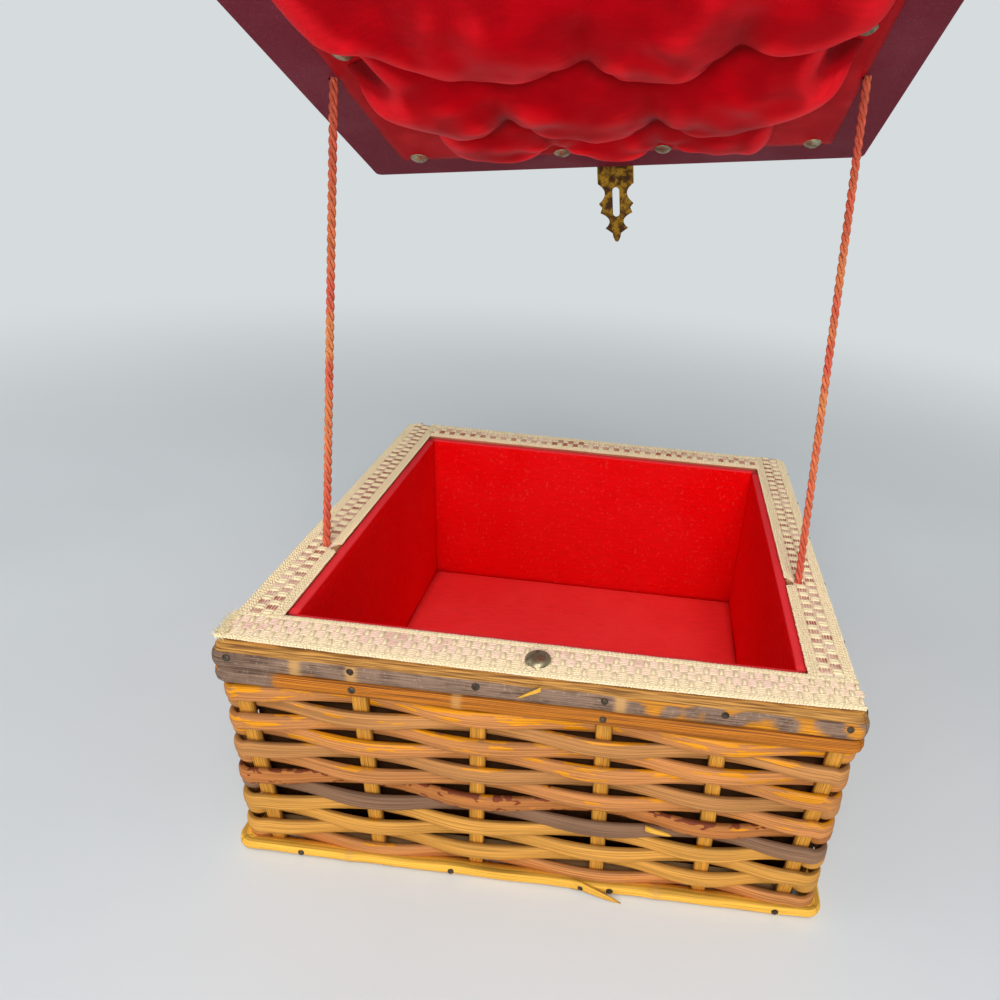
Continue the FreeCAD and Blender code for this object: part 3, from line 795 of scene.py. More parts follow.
def cord_yarn():
    """Twisted cord: salmon red, faded to orange in its middle."""
    lid = settings().lid
    material, tree, shader = new_material("cord_yarn", Roughness=0.78, Specular_IOR_Level=0.2)
    along = named(tree, "along")
    where, _ = object_place(tree)
    blotches, specks = aged(tree, where, 34.0, 1400.0)
    from_middle = calc(tree, "ABSOLUTE", calc(tree, "SUBTRACT", along, 0.5))
    middle = spread(tree, from_middle, 0.05, 0.4, 0.75, 0.1)
    colour = touched(tree, lid.salmon, middle, blotches, lid.paled)
    around = times(tree, named(tree, "around"), 7.0)
    winding = vector(tree, times(tree, along, 30.0), around, named(tree, "ply"))
    fibre = grain(tree, winding, detail=3.0)
    colour = shaded(tree, colour, spread(tree, fibre, 0.3, 0.7, 0.6, 1.15))
    colour = touched(tree, colour, specks, 0.4, tone(232, 150, 110))
    plug(tree, shader.inputs["Base Color"], colour)
    bump(tree, shader, fibre, 0.2)
    return material


def plain_wood():
    """Plain wood of the base board and the rails."""
    material, tree, shader = new_material("plain_wood", Roughness=0.7)
    _, parts = object_place(tree)
    rings = stretched(tree, (parts[0], 9.0), (parts[1], 190.0), (parts[2], 190.0))
    rings = grain(tree, rings, detail=4.0)
    dark, pale = tone(150, 108, 66), tone(196, 154, 104)
    colour = blend(tree, spread(tree, rings, 0.35, 0.65), dark, pale)
    plug(tree, shader.inputs["Base Color"], colour)
    bump(tree, shader, rings, 0.2)
    return material


# Metals: bright and dark tone, share of patina, roughness where bright and where dark
METALS = {
    "brass": (tone(116, 86, 26), tone(62, 36, 12), 0.9, 0.45, 0.65),
    "pewter": (tone(186, 176, 144), tone(96, 86, 62), 0.8, 0.42, 0.62),
    "nail_iron": (tone(104, 92, 78), tone(58, 46, 36), 0.9, 0.5, 0.75),
}
FINISHES = {
    "woven_cane": woven_cane,
    "stake_cane": stake_cane,
    "rim_cane": lambda: band_cane("rim_cane", tone(206, 134, 34), 0.5, 0.4),
    "under_cane": lambda: band_cane("under_cane", tone(204, 121, 26), 0.15, 0.9),
    "bottom_cane": lambda: band_cane("bottom_cane", tone(250, 188, 70), 0.0),
    "braid_yarn": braid_yarn,
    "lining_red": lambda: red_cloth("lining_red", (1, 1, 0), (0, 0, 1), 0.0, 0.1),
    # The floor panel is mostly the paler red, as painted light and a painted reflection where it
    # faces up, with some fading
    "floor_red": lambda: red_cloth("floor_red", (1, 0, 0), (0, 1, 0), 0.75, 0.25),
    "red_satin": red_satin,
    "maroon_cover": maroon_cover,
    **{name: partial(old_metal, name, *looks) for name, looks in METALS.items()},
    "cord_yarn": cord_yarn,
    "plain_wood": plain_wood,
}
MADE_FINISHES = {}


def finish(name):
    """The named finish, made once."""
    if name not in MADE_FINISHES:
        MADE_FINISHES[name] = FINISHES[name]()
    return MADE_FINISHES[name]


# Geometry Nodes
GEOMETRY = "NodeSocketGeometry"
MATERIAL = "NodeSocketMaterial"
NODES_TREE = "GeometryNodeTree"
WEAVE_SIZES = ("First Level", "Row Drop", "Reach", "Strand Height", "Strand Thickness", "Waver")
LEAN_SHARE = 0.85
STRAY_SCALE = 16.0
STRAY_STEP = 7.3
CROSSING_SIZE = 0.86
STRAND_POINTS = 14
STRAND_FULLNESS = 0.78
FULL_SIZE = (1, 1, 1)


def close_tree(tree, sink, geometry, material):
    """Ends a tree in realized, smooth geometry of one material."""
    realized = add(tree, "GeometryNodeRealizeInstances", {"Geometry": geometry}).outputs[0]
    smooth = add(tree, "GeometryNodeSetShadeSmooth", {"Geometry": realized}).outputs[0]
    ended = add(tree, "GeometryNodeSetMaterial", {"Geometry": smooth, "Material": material})
    plug(tree, sink["Geometry"], ended.outputs[0])


def mesh_value(tree, label, kind="FLOAT"):
    """A named value of the geometry."""
    node = add(tree, "GeometryNodeInputNamedAttribute", {"Name": label}, data_type=kind)
    return node.outputs["Attribute"]


def store(tree, geometry, label, value):
    """Keeps a value on the points under a name."""
    inputs = {"Geometry": geometry, "Name": label, "Value": value}
    options = {"data_type": "FLOAT", "domain": "POINT"}
    return add(tree, "GeometryNodeStoreNamedAttribute", inputs, **options).outputs[0]


def scaled(tree, value, amount):
    """A vector made longer or shorter."""
    inputs = {0: value, "Scale": amount}
    return add(tree, "ShaderNodeVectorMath", inputs, operation="SCALE").outputs[0]


def joined(tree, first, second):
    """Two vectors added."""
    return add(tree, "ShaderNodeVectorMath", {0: first, 1: second}, operation="ADD").outputs[0]


def weave_tree(name):
    """Rows of strands that swing in and out along a closed path."""
    tree, source, sink = group_tree(
        name,
        NODES_TREE,
        {
            "Geometry": (GEOMETRY, None),
            "Rows": ("NodeSocketInt", 1),
            **{label: (FLOAT, 0.0) for label in (*WEAVE_SIZES, "Seed")},
            "Material": (MATERIAL, None),
        },
        {"Geometry": GEOMETRY},
    )
    curve = add(tree, "GeometryNodeMeshToCurve", {"Mesh": source["Geometry"]}).outputs[0]
    curve = add(tree, "GeometryNodeSetCurveNormal", {"Curve": curve}, mode="Z_UP").outputs[0]
    inputs = {"Geometry": curve, "Amount": source["Rows"]}
    rows = add(tree, "GeometryNodeDuplicateElements", inputs, domain="SPLINE").outputs
    curve = store(tree, rows["Geometry"], "row", rows["Duplicate Index"])
    length = add(tree, "GeometryNodeSplineParameter").outputs["Length"]
    curve = store(tree, curve, "along", length)
    row = mesh_value(tree, "row")
    swing = mesh_value(tree, "swing")
    parity = calc(tree, "MODULO", row, 2.0)
    turn = times(tree, swing, fitted(tree, parity, -2.0, 1.0))
    turn = calc(tree, "ADD", turn, mesh_value(tree, "push"))
    outward = mesh_value(tree, "outward", "FLOAT_VECTOR")
    out = scaled(tree, outward, times(tree, turn, source["Reach"]))
    height = calc(tree, "SUBTRACT", 1.0, calc(tree, "DIVIDE", row, source["Rows"]))
    lean = mesh_value(tree, "lean", "FLOAT_VECTOR")
    out = joined(tree, out, scaled(tree, lean, times(tree, height, LEAN_SHARE)))
    inputs = {
        "Vector": add(tree, "GeometryNodeInputPosition").outputs[0],
        "W": fitted(tree, row, STRAY_STEP, source["Seed"]),
        "Scale": STRAY_SCALE,
        "Detail": 1.0,
    }
    stray = add(tree, "ShaderNodeTexNoise", inputs, noise_dimensions="4D").outputs[0]
    stray = times(tree, fitted(tree, stray, 4.0, -2.0), source["Waver"])
    level = fitted(tree, row, times(tree, source["Row Drop"], -1.0), source["First Level"])
    shift = joined(tree, out, vector(tree, z=calc(tree, "ADD", level, stray)))
    inputs = {"Geometry": curve, "Offset": shift}
    curve = add(tree, "GeometryNodeSetPosition", inputs).outputs[0]
    slim = spread(tree, calc(tree, "ABSOLUTE", swing), 0.0, 1.0, CROSSING_SIZE, 1.0)
    curve = add(tree, "GeometryNodeSetCurveRadius", {"Curve": curve, "Radius": slim}).outputs[0]

    inputs = {"Resolution": STRAND_POINTS, "Radius": 1.0}
    ring = add(tree, "GeometryNodeCurvePrimitiveCircle", inputs).outputs[0]
    position = add(tree, "GeometryNodeInputPosition").outputs[0]
    place = add(tree, "ShaderNodeSeparateXYZ", {0: position}).outputs
    ring = store(tree, ring, "across", place[1])

    def fuller(value, label):
        size = calc(tree, "POWER", calc(tree, "ABSOLUTE", value), STRAND_FULLNESS)
        half = times(tree, source[label], 0.5)
        return times(tree, times(tree, calc(tree, "SIGN", value), size), half)

    oval = vector(tree, fuller(place[0], "Strand Thickness"), fuller(place[1], "Strand Height"))
    ring = add(tree, "GeometryNodeSetPosition", {"Geometry": ring, "Position": oval}).outputs[0]
    radius = add(tree, "GeometryNodeInputRadius").outputs[0]
    inputs = {"Curve": curve, "Profile Curve": ring, "Scale": radius}
    strands = add(tree, "GeometryNodeCurveToMesh", inputs).outputs[0]
    close_tree(tree, sink, strands, source["Material"])
    return tree


def scatter_tree(name):
    """Copies of one small shape on points, each turned and sized."""
    tree, source, sink = group_tree(
        name,
        NODES_TREE,
        {
            "Geometry": (GEOMETRY, None),
            "Shape": ("NodeSocketObject", None),
            "Material": (MATERIAL, None),
        },
        {"Geometry": GEOMETRY},
    )
    inputs = {"Object": source["Shape"], "As Instance": True}
    shape = add(tree, "GeometryNodeObjectInfo", inputs).outputs["Geometry"]
    angles = mesh_value(tree, "turn", "FLOAT_VECTOR")
    inputs = {
        "Points": source["Geometry"],
        "Instance": shape,
        "Rotation": add(tree, "FunctionNodeEulerToRotation", {0: angles}).outputs[0],
        "Scale": mesh_value(tree, "size", "FLOAT_VECTOR"),
    }
    placed = add(tree, "GeometryNodeInstanceOnPoints", inputs).outputs[0]
    close_tree(tree, sink, placed, source["Material"])
    return tree


def grow(name, seed, tree, values):
    """Runs a tree on a seed mesh and returns the result as an object with a plain mesh."""
    piece = link_object(name, seed)
    modifier = piece.modifiers.new("grow", "NODES")
    modifier.node_group = tree
    for item in tree.interface.items_tree:
        if item.item_type == "SOCKET" and item.in_out == "INPUT" and item.name in values:
            modifier[item.identifier] = values[item.name]
    apply_modifiers(piece, preserve_all_data_layers=True).name = name
    return piece


def scatter(name, spots, shape_mesh, finish_name, place=None):
    """Sets copies of a shape on spots of (point, turn, size, values)."""
    points, turns, sizes, values = zip(*spots)
    mesh = bpy.data.meshes.new(name)
    mesh.from_pydata(metres(points), [], [])
    keep_values(mesh, {"turn": turns, "size": sizes}, "FLOAT_VECTOR")
    keep_values(mesh, {label: [spot[label] for spot in values] for label in values[0]})
    shape = link_object(name + "_shape", shape_mesh)
    tree = shared("set on points", scatter_tree)
    piece = grow(name, mesh, tree, {"Shape": shape, "Material": finish(finish_name)})
    bpy.data.objects.remove(shape)
    if place is not None:
        piece.data.transform(place)
    return piece


def turned_shape(name, outline, count):
    """A turned shape about Z from an outline of (radius, height), for copies on points."""
    points = []
    for radius, height in outline:
        for step in range(count):
            angle = 2 * math.pi * step / count
            points.append((radius * math.cos(angle), radius * math.sin(angle), height))
    return new_mesh(name, points, skin(len(outline), count))


def bead(name, segments, rings):
    """A small round stitch of one millimetre radius."""
    outline = []
    for index in range(rings + 1):
        angle = math.pi * index / rings
        outline.append((max(0.02, math.sin(angle)), -math.cos(angle)))
    return turned_shape(name, outline, segments)


# Woven walls
WEAVE_SEED = 2.0
WEAVE_CORNER = 5.0
CORNER_PUSH = 0.95
STEPS_PER_STAKE = 16
CORNER_STEPS_PER_STAKE = 30
SEAM_POINT = 2 * (5 * STEPS_PER_STAKE + CORNER_STEPS_PER_STAKE) + 2 * STEPS_PER_STAKE


def weave_path():
    """The closed path midway through the stakes: points, named vectors and named numbers."""
    half = HALF - STAKE_DEPTH
    straight = half - WEAVE_CORNER
    arc = math.pi / 2 * WEAVE_CORNER
    run = 2 * straight + arc
    total = run * len(SIDES)
    stations, leans = [], []
    for index, side in enumerate(SIDES):
        stations += [index * run + straight + place for place in stake_places(side)]
        leans += [top - place for top, place in zip(stake_tops(side), stake_places(side))]
    path = {label: [] for label in ("point", "outward", "lean", "swing", "push")}
    for number, start in enumerate(stations):
        after = (number + 1) % len(stations)
        gap = (stations[after] - start) % total
        corner = after % (len(MIDDLE_STAKES) + 2) == 0
        count = CORNER_STEPS_PER_STAKE if corner else STEPS_PER_STAKE
        for step in range(count):
            share = step / count
            place = (start + gap * share) % total
            index, rest = divmod(place, run)
            side = SIDES[int(index) % len(SIDES)]
            if rest <= 2 * straight:
                x, y, nx, ny = rest - straight, -half, 0.0, -1.0
            else:
                angle = (rest - 2 * straight) / WEAVE_CORNER - math.pi / 2
                nx, ny = math.cos(angle), math.sin(angle)
                x, y = straight + WEAVE_CORNER * nx, -straight + WEAVE_CORNER * ny
            nx, ny = turned(side, nx, ny)
            lean = (leans[number] * (1 - share) + leans[after] * share) * MM
            path["point"].append((*turned(side, x, y), 0.0))
            path["outward"].append((nx, ny, 0.0))
            path["lean"].append((-ny * lean, nx * lean, 0.0))
            path["swing"].append(math.cos(math.pi * share) * (1 if number % 2 == 0 else -1))
            path["push"].append(CORNER_PUSH * math.sin(math.pi * share) ** 2 if corner else 0.0)
    path = {label: values[SEAM_POINT:] + values[:SEAM_POINT] for label, values in path.items()}
    vectors = {label: path[label] for label in ("outward", "lean")}
    return path["point"], vectors, {label: path[label] for label in ("swing", "push")}


class SEWBOX_OT_weave(bpy.types.Operator):
    """Weaves the cane strands round all four sides"""

    bl_idname = "sewbox.weave"
    bl_label = "Woven Walls"

    def execute(self, context):
        weave = settings().weave
        points, vectors, numbers = weave_path()
        count = len(points)
        seed = bpy.data.meshes.new("weave_path")
        seed.from_pydata(metres(points), [(i, (i + 1) % count) for i in range(count)], [])
        keep_values(seed, vectors, "FLOAT_VECTOR")
        keep_values(seed, numbers)
        inputs = {label: getattr(weave, label.lower().replace(" ", "_")) for label in WEAVE_SIZES}
        inputs.update({"Rows": weave.rows, "Seed": WEAVE_SEED, "Material": finish("woven_cane")})
        piece = grow("woven_walls", seed, shared("woven rows", weave_tree), inputs)
        settle(piece, "box", "woven_cane", *[f"woven_wall_{side}" for side in SIDES])
        return {"FINISHED"}


# Stakes
STAKE_HALF = 3.5
STAKE_SECTION = (
    (-STAKE_HALF, -0.7), (-3.0, -1.5), (-1.2, -1.62), (1.2, -1.62), (3.0, -1.5),
    (STAKE_HALF, -0.7), (STAKE_HALF, 0.7), (3.0, 1.5), (-3.0, 1.5), (-STAKE_HALF, 0.7),
)
STAKE_LOW, STAKE_HIGH = 2.4, 118.4
STAKE_RINGS = 24


def stake_shape():
    """One flat stake with rounded edges and a slight bow."""
    points, along, across = [], [], []
    for ring in range(STAKE_RINGS):
        level = STAKE_LOW + (STAKE_HIGH - STAKE_LOW) * ring / (STAKE_RINGS - 1)
        for x, y in STAKE_SECTION:
            bow, dent = 0.25 * ripple(level / 17, x, 3), 0.1 * ripple(level / 6, x, 9)
            points.append((x + bow, y + dent, level))
            along.append(level * MM)
            across.append(x / STAKE_HALF)
    faces = skin(STAKE_RINGS, len(STAKE_SECTION))
    return new_mesh("stake", points, faces, {"along": along, "across": across})


class SEWBOX_OT_stakes(bpy.types.Operator):
    """Sets the flat upright stakes on each side"""

    bl_idname = "sewbox.stakes"
    bl_label = "Stakes"

    def execute(self, context):
        draw = random.Random(11)
        for number, side in enumerate(SIDES):
            spots = []
            for index, (place, top) in enumerate(zip(stake_places(side), stake_tops(side))):
                lean = math.atan2(top - place, STAKE_RISE)
                x, y, _ = on_side(side, place, STAKE_DEPTH, 0.0)
                turn = (draw.uniform(-0.006, 0.006), lean, number * math.pi / 2)
                spots.append(((x, y, 0.0), turn, FULL_SIZE, {"strand": number * 6 + index}))
            piece = scatter(f"stakes_{side}_cane", spots, stake_shape(), "stake_cane")
            settle(piece, "box", "stake_cane", f"stakes_{side}")
        return {"FINISHED"}


# Bands: their sections, given as depth and level
RIM_SECTION = (
    (5.0, 106.9), (0.4, 106.9), (-1.6, 107.4), (-2.6, 108.6), (-3.0, 110.5),
    (-2.9, 112.6), (-2.5, 114.1), (-1.9, 115.1), (-1.5, 115.6), (-1.2, 116.6),
    (-0.6, 117.8), (0.5, 118.8), (2.6, 119.4), (5.0, 119.7),
)
RIM_RAW_FROM = 8
UNDER_SECTION = (
    (5.0, 98.9), (0.4, 98.9), (-1.4, 99.4), (-2.4, 100.7), (-2.8, 102.9),
    (-2.4, 105.0), (-1.4, 106.3), (0.4, 106.8), (5.0, 106.9),
)
BOTTOM_SECTION = (
    (5.0, 1.0), (-0.8, 1.0), (-3.0, 1.3), (-4.2, 2.3), (-4.6, 3.9),
    (-4.2, 5.4), (-3.2, 6.4), (-1.9, 6.6), (5.0, 2.6),
)
BAND_STEP = 2.0
CORNER_STEPS = 5
BAND_MARKS = ("bark", "raw", "scar")


def band_stations(radius):
    """Stations along a side from corner to corner: centre, outward direction and place."""
    straight = HALF - radius

    def bend(centre, share):
        angle = -math.pi / 2 + math.pi / 4 * share / CORNER_STEPS
        place = centre + radius * (angle + math.pi / 2)
        return (centre, math.cos(angle), math.sin(angle), place)

    stations = [bend(-straight, step - CORNER_STEPS) for step in range(CORNER_STEPS)]
    count = int(2 * straight / BAND_STEP)
    for step in range(count + 1):
        place = -straight + 2 * straight * step / count
        stations.append((place, 0.0, -1.0, place))
    return stations + [bend(straight, step) for step in range(1, CORNER_STEPS + 1)]


def build_band(name, side, section, nodes, shape, finish_name):
    """A cane band on one side; shape gives each point's shift, lift and marks."""
    radius = settings().trim.corner_radius / MM
    number = SIDES.index(side)
    levels = [level for _, level in section]
    middle = (max(levels) + min(levels)) / 2
    half = (max(levels) - min(levels)) / 2
    points = []
    values = {label: [] for label in ("along", "across", "strand", *BAND_MARKS)}
    stations = band_stations(radius)
    for centre, nx, ny, place in stations:
        scar = node_mark(nodes[side], place)
        for index, (depth, level) in enumerate(section):
            front = math.sin(math.pi * index / (len(section) - 1))
            shift, lift, marks = shape(side, place, index, front, scar)
            reach = radius - (depth - shift)
            x, y = turned(side, centre + nx * reach, -(HALF - radius) + ny * reach)
            points.append((x, y, level + lift))
            values["along"].append((place + number * 2 * HALF) * MM)
            values["across"].append((level - middle) / half)
            values["strand"].append(number)
            for label in BAND_MARKS:
                values[label].append(marks.get(label, 0.0))
    return new_piece(name, finish_name, points, skin(len(stations), len(section)), values)


# Places of the cane's nodes along each side
NODE_WIDTH = 3.3
RIM_NODES = {
    "near": (-100, -76, 36), "right": (-60, 42, 108), "far": (-88, 10, 74), "left": (-30, 66),
}
UNDER_NODES = {"near": (-32,), "right": (54,), "far": (-70, 48), "left": (20,)}
BOTTOM_NODES = {"near": (-84, 62), "right": (-20, 90), "far": (-50, 70), "left": (-96, 34)}


def node_mark(nodes, place):
    """How strongly a cane node shows at a place."""
    return max(math.exp(-(((place - node) / NODE_WIDTH) ** 2)) for node in nodes)


def rim_shape(side, place, index, front, scar):
    """Rim band: grey bark with orange windows below a torn raw edge."""
    key = SIDES.index(side) * 7.0
    count = len(RIM_SECTION)
    torn = max(0.0, (index - RIM_RAW_FROM + 1) / (count - RIM_RAW_FROM))
    rough = ripple(place / 2.2, index * 0.8, key) * 0.5 + ripple(place / 0.9, index, key + 3) * 0.25
    shift = 0.35 * ripple(place / 22, index * 0.2, key) * front + 0.5 * scar * front + rough * torn
    lift = 0.4 * ripple(place / 38, 1, key) * front + (rough * torn if index < count - 1 else 0.0)
    open_end = -0.08 if place > 38 else -0.6
    window = ripple(place / 9, index * 0.2, key + 5) + open_end
    bark = 1.0 - min(1.0, max(0.0, window * 7)) * min(1.0, 1.6 * front)
    return shift, lift, {"bark": bark, "raw": float(index >= RIM_RAW_FROM), "scar": scar}


def under_shape(side, place, index, front, scar):
    """Second band: orange brown, grey at one end."""
    key = SIDES.index(side) * 5.0 + 40
    grey_end = (-108 - place) / 4 if side == "near" else (ripple(place / 30, 0, key) - 0.25) * 6
    bark = min(1.0, max(0.0, grey_end + ripple(place / 3, index, key)))
    shift = (0.3 * ripple(place / 26, index * 0.2, key) + 0.45 * scar) * front
    return shift, 0.35 * ripple(place / 45, 2, key) * front, {"bark": bark, "scar": 0.8 * scar}


def bottom_shape(side, place, index, front, scar):
    """Bottom band: yellow and wavy."""
    key = SIDES.index(side) * 3.0 + 80
    shift = (0.5 * ripple(place / 20, index * 0.2, key) + 0.5 * scar) * front
    return shift, 0.8 * ripple(place / 24, 4, key), {"scar": 0.7 * scar}


BANDS = (
    ("rim", RIM_SECTION, RIM_NODES, rim_shape),
    ("under", UNDER_SECTION, UNDER_NODES, under_shape),
    ("bottom", BOTTOM_SECTION, BOTTOM_NODES, bottom_shape),
)
SLIVER_SECTION = ((-1, -0.4), (-0.3, -1), (0.3, -1), (1, -0.4), (1, 0.4), (-1, 0.4))
# Splinters: name, slot, half width, thickness and route
SLIVERS = (
    (
        "rim_splinter", "rim_cane", 1.3, 0.6,
        ((3.4, -138.9, 116.6), (1.4, -139.0, 115.4), (-1.0, -138.8, 113.9), (-4.0, -138.4, 111.8),
         (-7.0, -137.9, 109.8)),
    ),
    (
        "bottom_band_break", "bottom_cane", 3.0, 2.0,
        ((22, -138.0, 4.2), (27, -138.9, 4.4), (31, -140.2, 4.2), (36, -141.2, 3.2),
         (41, -142.0, 2.1), (46, -142.6, 1.0)),
    ),
    (
        "torn_strand_tip", "woven_cane", 1.7, 1.5,
        ((53, -135.4, 42.6), (57, -136.4, 42.5), (61, -136.9, 42.3), (63.5, -137.1, 42.1),
         (65, -137.2, 42.0)),
    ),
)


def build_sliver(name, half_width, thickness, route):
    """A thin pointed splinter of cane along a few points."""
    points, along, across = [], [], []
    last = len(route) - 1
    for index, (x, y, z) in enumerate(route):
        width = half_width * (1 - index / last) ** 0.5 + 0.05
        slim = thickness * (1 - 0.6 * index / last)
        for dz, dy in SLIVER_SECTION:
            points.append((x, y + dy * slim / 2, z + dz * width))
            along.append(x * MM)
            across.append(dz)
    values = {label: [0.0] * len(points) for label in ("strand", *BAND_MARKS)}
    values.update({"along": along, "across": across})
    return new_piece(name, "bottom_cane", points, skin(len(route), len(SLIVER_SECTION)), values)


class SEWBOX_OT_bands(bpy.types.Operator):
    """Bends the three cane bands round each side"""

    bl_idname = "sewbox.bands"
    bl_label = "Cane Bands"

    def execute(self, context):
        for label, *band in BANDS:
            cane = f"{label}_cane"
            for side in SIDES:
                piece = build_band(f"{label}_band_{side}_cane", side, *band, cane)
                settle(piece, "box", cane, f"{label}_band_{side}")
        for name, slot, *sizes in SLIVERS:
            settle(build_sliver(name, *sizes), "box", slot)
        dress("plain_wood", "base_board", *[f"rim_rail_{side}" for side in SIDES])
        return {"FINISHED"}


# Nails
NAIL_HEAD = (
    (0.05, 0.5), (0.7, 0.48), (1.2, 0.4), (1.5, 0.24),
    (1.66, 0.0), (1.64, -0.2), (0.7, -0.3), (0.65, -3.0),
)
CANE_BULGE = {"rim": 2.9, "under": 2.7, "bottom": 4.5}
NAIL_LEVELS = {"rim": 113.2, "under": 103.6, "bottom": 3.9}
UNDER_NAIL_STAKES = (1, 3)
BOTTOM_NAILS = (-106.92, -34.83, 26.73, 40.23, 117.18)


class SEWBOX_OT_nails(bpy.types.Operator):
    """Drives the nails through the bands"""

    bl_idname = "sewbox.nails"
    bl_label = "Band Nails"

    def execute(self, context):
        draw = random.Random(5)
        groups = {label: [] for label in NAIL_LEVELS}
        for number, side in enumerate(SIDES):
            tops = stake_tops(side)
            under = [tops[index] for index in UNDER_NAIL_STAKES]
            for label, places in (("rim", tops), ("under", under), ("bottom", BOTTOM_NAILS)):
                for place in places:
                    point = on_side(side, place, -CANE_BULGE[label], NAIL_LEVELS[label])
                    lean = math.pi / 2 + draw.uniform(-0.12, 0.12)
                    turn = (lean, draw.uniform(-3, 3), number * math.pi / 2)
                    size = draw.uniform(0.9, 1.08)
                    groups[label].append((point, turn, (size, size, 1.0), {}))
        for label, spots in groups.items():
            head = turned_shape("nail", NAIL_HEAD, 12)
            piece = scatter(f"{label}_band_nail_heads", spots, head, "nail_iron")
            settle(piece, "box", "nail_iron", f"{label}_band_nails")
        return {"FINISHED"}


# Braid: each row of blocks is given as its centre, height and tint
STITCH_RISE = 0.5
STITCH_STRAY = 0.12
STITCH_SWAY = 0.06
SELVEDGE_PITCH = 2.0
PICOT_PITCH = 1.45
TAPE_BASE = 0.95
TAPE_TINT = 0.3
TAPE_STEP = 2.0
NEAR_TAPE = {
    "inset": 1.0,
    "width": 19.6,
    "bow": 2.3,
    "rows": ((4.7, 4.6, 0.18), (9.3, 4.4, 0.54), (13.8, 4.4, 0.6)),
    "ribs": 4,
    "bars": 1,
    "bar_room": 0.24,
    "selvedges": (0.9, 1.9, 16.8, 17.8),
    "picots": (0.0, 18.6),
    "slant": 0.1,
}
SIDE_TAPE = {
    "inset": 0.6,
    "width": 20.2,
    "bow": 0.0,
    "rows": ((7.6, 5.0, 0.95), (12.9, 5.2, 1.3)),
    "ribs": 4,
    "bars": 2,
    "bar_room": 0.46,
    "selvedges": (0.8, 2.0, 3.2, 4.4, 16.4, 17.6, 18.8),
    "picots": (19.9,),
    "slant": 0.5,
}
BRAID_CORNER = 7.6
BRAID_CORNER_REACH = 7.0
CORD_GAP_FROM = 15.4
CORD_GAP_HALF = 3.4
NOTCH_DEPTH, NOTCH_HALF = 4.2, 4.0
FRAY_COUNT = 260
STUD_DEPTH = 8.2
STUD_CLEARANCE = 3.0


def bowed(tape, place, across):
    """Depth of a spot across a braid that is stretched outwards in its middle."""
    bow = tape["bow"] * (1 - (place / HALF) ** 2)
    return tape["inset"] + across - bow * (1 - across / tape["width"])


def tape_spots(tape, side, start, end, pitch, skip, draw):
    """Stitches of a length of braid: rows of ribbed blocks, bars between them, plain edges."""
    spots = []
    turn = SIDES.index(side) * math.pi / 2
    ribs, bars = tape["ribs"], tape["bars"]
    gap = pitch * tape["bar_room"]

    def stitch(place, across, sizes, tint, lift=0.0, slant=0.0):
        place += draw.uniform(-STITCH_STRAY, STITCH_STRAY)
        depth = bowed(tape, place, across) + draw.uniform(-STITCH_STRAY, STITCH_STRAY)
        if not start < place < end or skip(place, depth):
            return
        level = RIM_TOP + TAPE_BASE + lift + draw.uniform(-STITCH_SWAY, STITCH_SWAY)
        angle = turn + slant + draw.uniform(-STITCH_SWAY, STITCH_SWAY)
        spots.append((on_side(side, place, depth, level), (0, 0, angle), sizes, {"tint": tint}))

    for number, (centre, height, tint) in enumerate(tape["rows"]):
        rib_width = height / ribs
        rib_size = ((pitch - gap) / 2 * 1.04, rib_width * 0.42, STITCH_RISE)
        bar_size = (gap / bars * 0.6, height * 0.56, STITCH_RISE * 1.25)
        for index in range(int((end - start) / pitch) + 1):
            middle = start + (index + 0.5 * (number % 2)) * pitch
            worn = tint * draw.uniform(0.75, 1.1)
            for rib in range(ribs):
                stitch(middle, centre + (rib - (ribs - 1) / 2) * rib_width, rib_size, worn)
            for bar in range(bars):
                edge = middle + pitch / 2 + (bar - (bars - 1) / 2) * gap / bars
                stitch(edge, centre, bar_size, 0.0, 0.12)
    for across in tape["selvedges"]:
        slant = tape["slant"] if across < 5 else 0.12
        place = start + draw.uniform(0, 1)
        while place < end:
            stitch(place, across, (1.35, 0.62, STITCH_RISE), 0.06, 0.0, slant)
            place += SELVEDGE_PITCH
    for across in tape["picots"]:
        place = start
        while place < end:
            stitch(place, across, (0.62, 0.85, STITCH_RISE), 0.0, -0.2)
            place += PICOT_PITCH
    return spots


def tape_rings(side, tape, start, end):
    """The cloth under the stitches of a length of braid, with wavy edges and a cord's notch."""
    rings = []
    key = SIDES.index(side) * 9.0
    stations = int((end - start) / TAPE_STEP)
    low, high = RIM_TOP + 0.02, RIM_TOP + TAPE_BASE
    for step in range(stations + 1):
        place = start + (end - start) * step / stations
        outer = bowed(tape, place, 0.0) + 0.35 * ripple(place / 11, 0, key)
        inner = bowed(tape, place, tape["width"]) + 0.4 * ripple(place / 14, 5, key)
        if side in CORD_PLACES:
            from_cord = (place - CORD_PLACES[side]) / NOTCH_HALF
            inner -= NOTCH_DEPTH * math.exp(-(from_cord**2))
        ring = ((outer, low), (outer, high - 0.3), (outer + 0.5, high))
        ring += ((inner - 0.5, high), (inner, high - 0.3), (inner, low))
        rings.append([on_side(side, place, depth, level) for depth, level in ring])
    return rings


def build_tape(name, lengths):
    """One piece of several lengths of tape."""
    points, faces = [], []
    for rings in lengths:
        faces += skin(len(rings), len(rings[0]), first=len(points))
        points += [point for ring in rings for point in ring]
    return new_piece(name, "braid_yarn", points, faces, {"tint": [TAPE_TINT] * len(points)})


